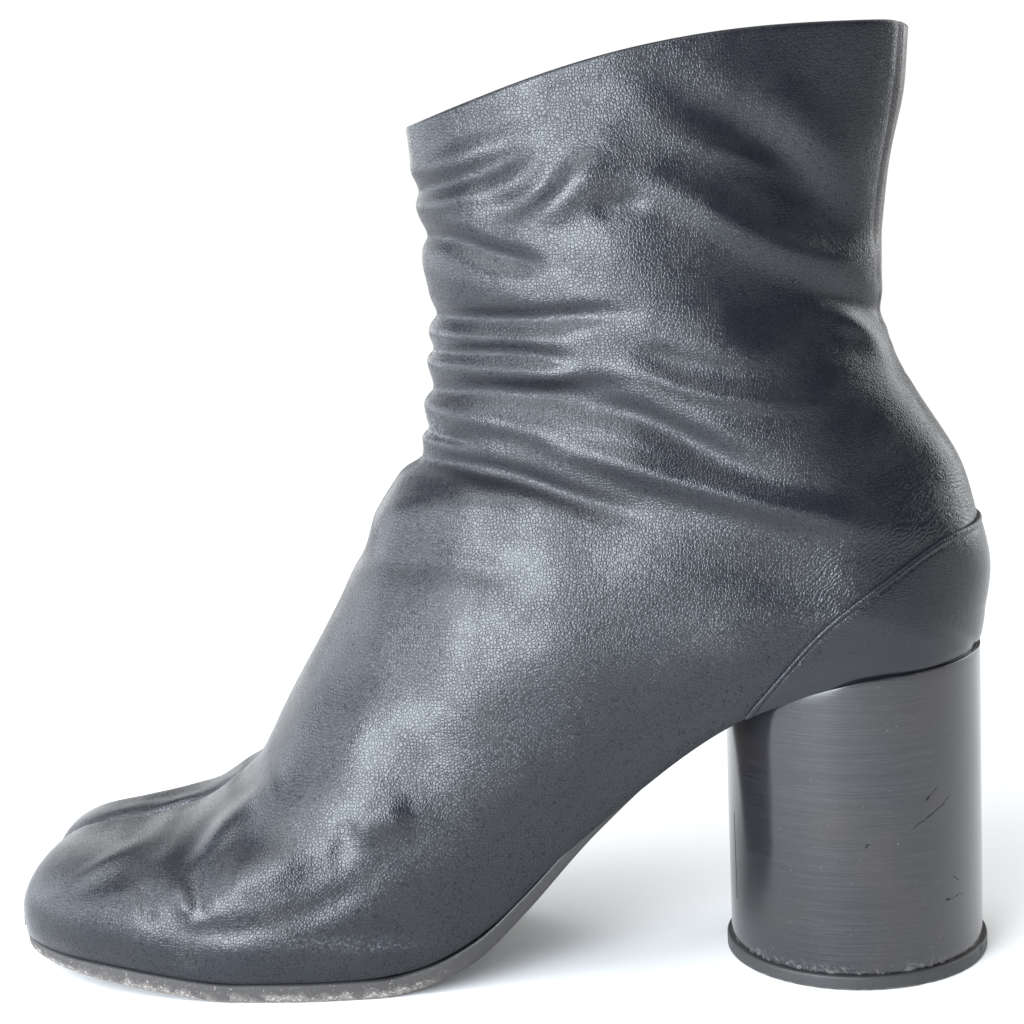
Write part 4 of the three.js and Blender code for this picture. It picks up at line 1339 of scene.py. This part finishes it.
def lining_leather(name):
    f = Finish(name)
    at = f.place()
    normal = f.bump(f.noise(at, *LINING_GRAIN), LINING_DEPTH_OF_GRAIN)
    colour = f.mix(f.noise(at, *LINING_PATCHES), LINING_DEEP, LINING_PALE)
    return f.set(Base_Color=colour, Roughness=LINING_ROUGH, Normal=normal)


# The sole's edge: where along the shoe it is worn, how high above the ground, and its speckles.
SOLE_ROLLED = (-84, -112)
SOLE_SQUASH = (1.0, 1.0, 1.5)
SOLE_RAGGED = (0.25, 0.75, -1.1, 1.1)
SOLE_WORN_SPAN = (2.6, 0.4)
SOLE_GRIT_SPAN = (0.60, 0.70)
SOLE_GRIT_MORE, SOLE_GRIT_SHARE, SOLE_GRIT_DEPTH = 0.10, 0.8, 0.10
SOLE_TOP_LINE, SOLE_TOP_SHARE = (0.55, 0.15), 0.9
SOLE_ROUGH, SOLE_ROLLED_ROUGH = 0.42, 0.35


def sole_leather(name):
    """Dark waxed edge in the arch, worn pale and speckled where the foot rolls."""
    f = Finish(name)
    at = f.place()
    parts = f.node("ShaderNodeSeparateXYZ", Vector=at)
    x, z = parts.outputs[0], parts.outputs[2]
    specks = f.noise(f.vector("MULTIPLY", at, SOLE_SQUASH), *SOLE_SPECKS)
    rolled = f.span(x, *SOLE_ROLLED)
    above = f.minus(z, f.reading("under"))
    ragged = f.plus(above, f.span(f.noise(at, *SOLE_RAGS), *SOLE_RAGGED))
    low = f.times(rolled, f.span(ragged, *SOLE_WORN_SPAN))
    grit = f.span(f.plus(specks, f.times(low, SOLE_GRIT_MORE)), *SOLE_GRIT_SPAN)
    dark = f.mix(f.noise(at, *SOLE_PATCHES), SOLE_WAX_DEEP, SOLE_WAX_PALE)
    worn_edge = f.mix(low, SOLE_WORN_HIGH, SOLE_WORN_LOW)
    colour = f.mix(rolled, dark, worn_edge)
    colour = f.mix(f.times(grit, f.times(rolled, SOLE_GRIT_SHARE)), colour, SOLE_GRIT)
    top_line = f.times(f.span(f.reading("below"), *SOLE_TOP_LINE), SOLE_TOP_SHARE)
    colour = f.mix(top_line, colour, SEAM_DARK)
    rough = f.plus(SOLE_ROUGH, f.times(rolled, SOLE_ROLLED_ROUGH))
    return f.set(Base_Color=colour, Roughness=rough, Normal=f.bump(specks, SOLE_GRIT_DEPTH))


# Scratches of the heel: turn in degrees and height in millimetres at both ends, and half the width.
SCRATCHES = [
    (-65.5, 38.0, -46.0, 43.4, 0.22),
    (-59.3, 44.2, -52.6, 46.9, 0.16),
    (-48.6, 18.7, -37.3, 18.8, 0.15),
    (-87.0, 34.4, -85.8, 35.0, 0.30),
    (-44.0, 24.0, -40.0, 22.5, 0.14),
    (-162.0, 36.0, -161.0, 15.0, 0.35),
]


def scratch(f, around, height, ends):
    """One where a scratch runs round the heel, worked out from the distance to its line."""
    turn_a, z_a, turn_b, z_b, half = ends
    start = math.radians(turn_a) * HEEL_RADIUS
    long, tall = math.radians(turn_b) * HEEL_RADIUS - start, z_b - z_a
    reach = long ** 2 + tall ** 2
    across = f.minus(around, start)
    above = f.minus(height, z_a)
    share = f.math("ADD", f.times(across, long / reach), f.times(above, tall / reach), clamp=True)
    across = f.minus(across, f.times(share, long))
    above = f.minus(above, f.times(share, tall))
    away = f.math("SQRT", f.plus(f.times(across, across), f.times(above, above)))
    return f.span(away, half, 0.3 * half)


# The heel's lacquer: its lines, specks, swells, the worn rim over the lift, and its scratches' edges.
HEEL_LEVEL = (0.02, 0.02, 1.0)
HEEL_LINE_SPAN = (0.3, 0.7)
HEEL_LINE_DEPTH, HEEL_LINE_ROUGH = 0.006, (0.3, 0.7, 0.0, 0.05)
HEEL_SPECK_SPAN, HEEL_SPECK_SHARE = (0.70, 0.76), 0.6
HEEL_BROWN_SPAN = (0.45, 0.75, 0.0, 0.5)
HEEL_SWELL_DEPTH = 0.25
HEEL_RAGGED = (0.2, 0.8, -0.35, 0.35)
HEEL_MARK_SHARE, HEEL_MARK_DEPTH, HEEL_MARK_DULL = 0.75, -0.10, 0.85
HEEL_RIM_SPAN, HEEL_CHIP_SPAN, HEEL_RIM_SHARE = (6.5, 3.2), (0.50, 0.62), 0.6
HEEL_ROUGH, HEEL_WORN_ROUGH = 0.17, 0.35
HEEL_SHINE, HEEL_COAT, HEEL_COAT_ROUGH = 0.5, 0.4, 0.12


def heel_lacquer(name):
    """Polished dark lacquer with fine level brush lines, specks and a few scratches."""
    f = Finish(name)
    at = f.place()
    parts = f.node("ShaderNodeSeparateXYZ", Vector=at)
    turn = f.math("ARCTAN2", parts.outputs[1], parts.outputs[0])
    around = f.times(turn, HEEL_RADIUS)
    ragged = f.plus(parts.outputs[2], f.span(f.noise(at, *HEEL_RAGS), *HEEL_RAGGED))
    marks = 0.0
    for ends in SCRATCHES:
        marks = f.math("MAXIMUM", marks, scratch(f, around, ragged, ends))
    lines = f.noise(f.vector("MULTIPLY", at, HEEL_LEVEL), *HEEL_LINES)
    swells = f.noise(at, *HEEL_SWELLS)
    specks = f.span(f.noise(at, *HEEL_SPECKS), *HEEL_SPECK_SPAN)
    colour = f.mix(f.span(lines, *HEEL_LINE_SPAN), HEEL_DEEP, HEEL_PALE)
    colour = f.mix(f.span(swells, *HEEL_BROWN_SPAN), colour, HEEL_BROWN)
    colour = f.mix(f.times(specks, HEEL_SPECK_SHARE), colour, HEEL_SPECK)
    colour = f.mix(f.times(marks, HEEL_MARK_SHARE), colour, HEEL_SCRATCH)
    chips = f.span(f.noise(at, *HEEL_CHIPS), *HEEL_CHIP_SPAN)
    worn_rim = f.times(f.span(parts.outputs[2], *HEEL_RIM_SPAN), chips)
    colour = f.mix(f.times(worn_rim, HEEL_RIM_SHARE), colour, HEEL_WORN)
    rough = f.plus(HEEL_ROUGH, f.span(lines, *HEEL_LINE_ROUGH))
    rough = f.plus(rough, f.times(f.math("MAXIMUM", marks, worn_rim), HEEL_WORN_ROUGH))
    height = f.plus(f.times(lines, HEEL_LINE_DEPTH), f.times(marks, HEEL_MARK_DEPTH))
    height = f.plus(height, f.times(swells, HEEL_SWELL_DEPTH))
    whole = f.minus(1.0, f.times(marks, HEEL_MARK_DULL))
    return f.set(Base_Color=colour, Roughness=rough, Normal=f.bump(height),
                 Specular_IOR_Level=f.times(whole, HEEL_SHINE),
                 Coat_Weight=f.times(whole, HEEL_COAT), Coat_Roughness=HEEL_COAT_ROUGH)


LIFT_DUST_HEIGHT, LIFT_DUST_SPAN, LIFT_DUST_SHARE = (0.7, 0.1), (0.4, 0.6), 0.4
LIFT_ROUGH, LIFT_GRAIN_DEPTH = 0.5, 0.08


def lift_rubber(name):
    """Dark rubber with pale dust along the ground."""
    f = Finish(name)
    at = f.place()
    parts = f.node("ShaderNodeSeparateXYZ", Vector=at)
    colour = f.mix(f.noise(at, *LIFT_PATCHES), LIFT_DEEP, LIFT_PALE)
    dust = f.span(f.noise(at, *LIFT_SPECKS), *LIFT_DUST_SPAN)
    pale = f.times(f.span(parts.outputs[2], *LIFT_DUST_HEIGHT), dust)
    colour = f.mix(f.times(pale, LIFT_DUST_SHARE), colour, LIFT_DUST)
    return f.set(Base_Color=colour, Roughness=LIFT_ROUGH,
                 Normal=f.bump(f.noise(at, *LIFT_GRAIN), LIFT_GRAIN_DEPTH))


def dress(piece, material, replaced):
    piece.data.materials.append(material)
    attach(piece, "root")
    for node in replaced:
        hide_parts(node)


dress(build_upper(), leather("leather_grain"), ["upper"])
dress(build_lining(), lining_leather("lining_calf"), [])
dress(build_counter(), counter_leather("counter_grain"), ["heel_counter"])
dress(build_outsole(), sole_leather("sole_edge"), ["outsole"])
dress(build_insole(), lining_leather("footbed_calf"), ["insole"])
dress(build_heel_block(), heel_lacquer("heel_gloss"), ["heel_block"])
dress(build_lift(), lift_rubber("lift_black"), ["heel_lift"])


# The camera of the picture, its place in millimetres and its turns in degrees.
CAMERA_PLACE = (-19.4, -551.1, 219.9)
CAMERA_YAW, CAMERA_PITCH, CAMERA_ROLL = 6.23, 11.35, -2.67
CAMERA_LENS, CAMERA_SENSOR = 83.36, 36.0


def add_camera():
    yaw, pitch, roll = (math.radians(a) for a in (CAMERA_YAW, CAMERA_PITCH, CAMERA_ROLL))
    ahead = Vector((-math.sin(yaw) * math.cos(pitch), math.cos(yaw) * math.cos(pitch), -math.sin(pitch)))
    right = Vector((math.cos(yaw), math.sin(yaw), 0))
    up = right.cross(ahead)
    right, up = right * math.cos(roll) + up * math.sin(roll), up * math.cos(roll) - right * math.sin(roll)
    data = bpy.data.cameras.new("view")
    data.lens, data.sensor_width = CAMERA_LENS, CAMERA_SENSOR
    data.clip_start, data.clip_end = 0.01, 20
    camera = bpy.data.objects.new("view", data)
    bpy.context.scene.collection.objects.link(camera)
    turn = Matrix((right, up, -ahead)).transposed().to_4x4()
    camera.matrix_world = Matrix.Translation(Vector(CAMERA_PLACE) * MM) @ turn
    bpy.context.scene.camera = camera


# Soft lamps: name, place and the point it looks at in metres, its two sides, power and colour.
LAMPS = [
    ("key_above", (-0.60, -0.70, 0.98), (-0.08, 0, 0.08), (1.1, 0.7), 15.0, (0.88, 0.94, 1.0)),
    ("window_front", (-0.44, -0.70, 0.22), (-0.05, 0, 0.10), (0.46, 0.42), 11.5, (0.84, 0.92, 1.0)),
    ("window_left", (-0.93, -0.08, 0.25), (-0.05, 0, 0.10), (1.0, 0.48), 8.5, (0.84, 0.92, 1.0)),
    ("back_right", (0.85, 0.60, 0.50), (0, 0, 0.08), (0.7, 0.9), 8.0, (0.95, 0.98, 1.0)),
    ("back_left", (-0.80, 0.75, 0.50), (0, 0, 0.08), (0.7, 0.9), 5.0, (0.95, 0.98, 1.0)),
]
FLOOR_TONE = 0.88
FLOOR_SIDE = 1.5

# The studio's brightness by how steeply one looks up: the sine of the slope, and the strength.
SKY = [(-1.0, 1.02), (0.03, 1.02), (0.09, 0.10), (0.45, 0.12), (0.75, 0.7), (1.0, 1.0)]


def add_lamps():
    for name, place, target, size, power, colour in LAMPS:
        data = bpy.data.lights.new(name, "AREA")
        data.shape = "RECTANGLE"
        data.size, data.size_y = size
        data.energy = power
        data.color = colour
        lamp = bpy.data.objects.new(name, data)
        lamp.location = place
        lamp.rotation_euler = (Vector(target) - Vector(place)).to_track_quat("-Z", "Y").to_euler()
        lamp.visible_camera = False
        bpy.context.scene.collection.objects.link(lamp)


def add_floor():
    bpy.ops.mesh.primitive_plane_add(size=FLOOR_SIDE, location=(0, 0, 0))
    floor = bpy.context.active_object
    floor.name = "floor"
    f = Finish("floor_pale")
    floor.data.materials.append(f.set(Base_Color=(FLOOR_TONE,) * 3, Roughness=0.7, Specular_IOR_Level=0.2))


def add_world():
    """A studio that is bright from below the horizon and from high above, and dim between."""
    world = bpy.data.worlds.new("studio")
    world.use_nodes = True
    nodes, links = world.node_tree.nodes, world.node_tree.links
    kinds = ("ShaderNodeTexCoord", "ShaderNodeSeparateXYZ", "ShaderNodeMapRange", "ShaderNodeValToRGB",
             "ShaderNodeMath")
    way, parts, spread, ramp, scaled = (nodes.new(kind) for kind in kinds)
    tallest = max(strength for _, strength in SKY)
    scaled.operation = "MULTIPLY"
    scaled.inputs[1].default_value = tallest
    spread.inputs["From Min"].default_value = -1
    stops = ramp.color_ramp.elements
    while len(stops) < len(SKY):
        stops.new(0.5)
    for stop, (slope, strength) in zip(stops, SKY):
        stop.position = (slope + 1) / 2
        stop.color = (*[strength / tallest] * 3, 1)
    background = nodes["Background"]
    background.inputs["Color"].default_value = (1, 1, 1, 1)
    links.new(way.outputs["Generated"], parts.inputs[0])
    links.new(parts.outputs[2], spread.inputs["Value"])
    links.new(spread.outputs[0], ramp.inputs[0])
    links.new(ramp.outputs[0], scaled.inputs[0])
    links.new(scaled.outputs[0], background.inputs["Strength"])
    bpy.context.scene.world = world


add_camera()
add_lamps()
add_floor()
add_world()
bpy.context.scene.view_settings.view_transform = "Standard"


bpy.context.view_layer.update()
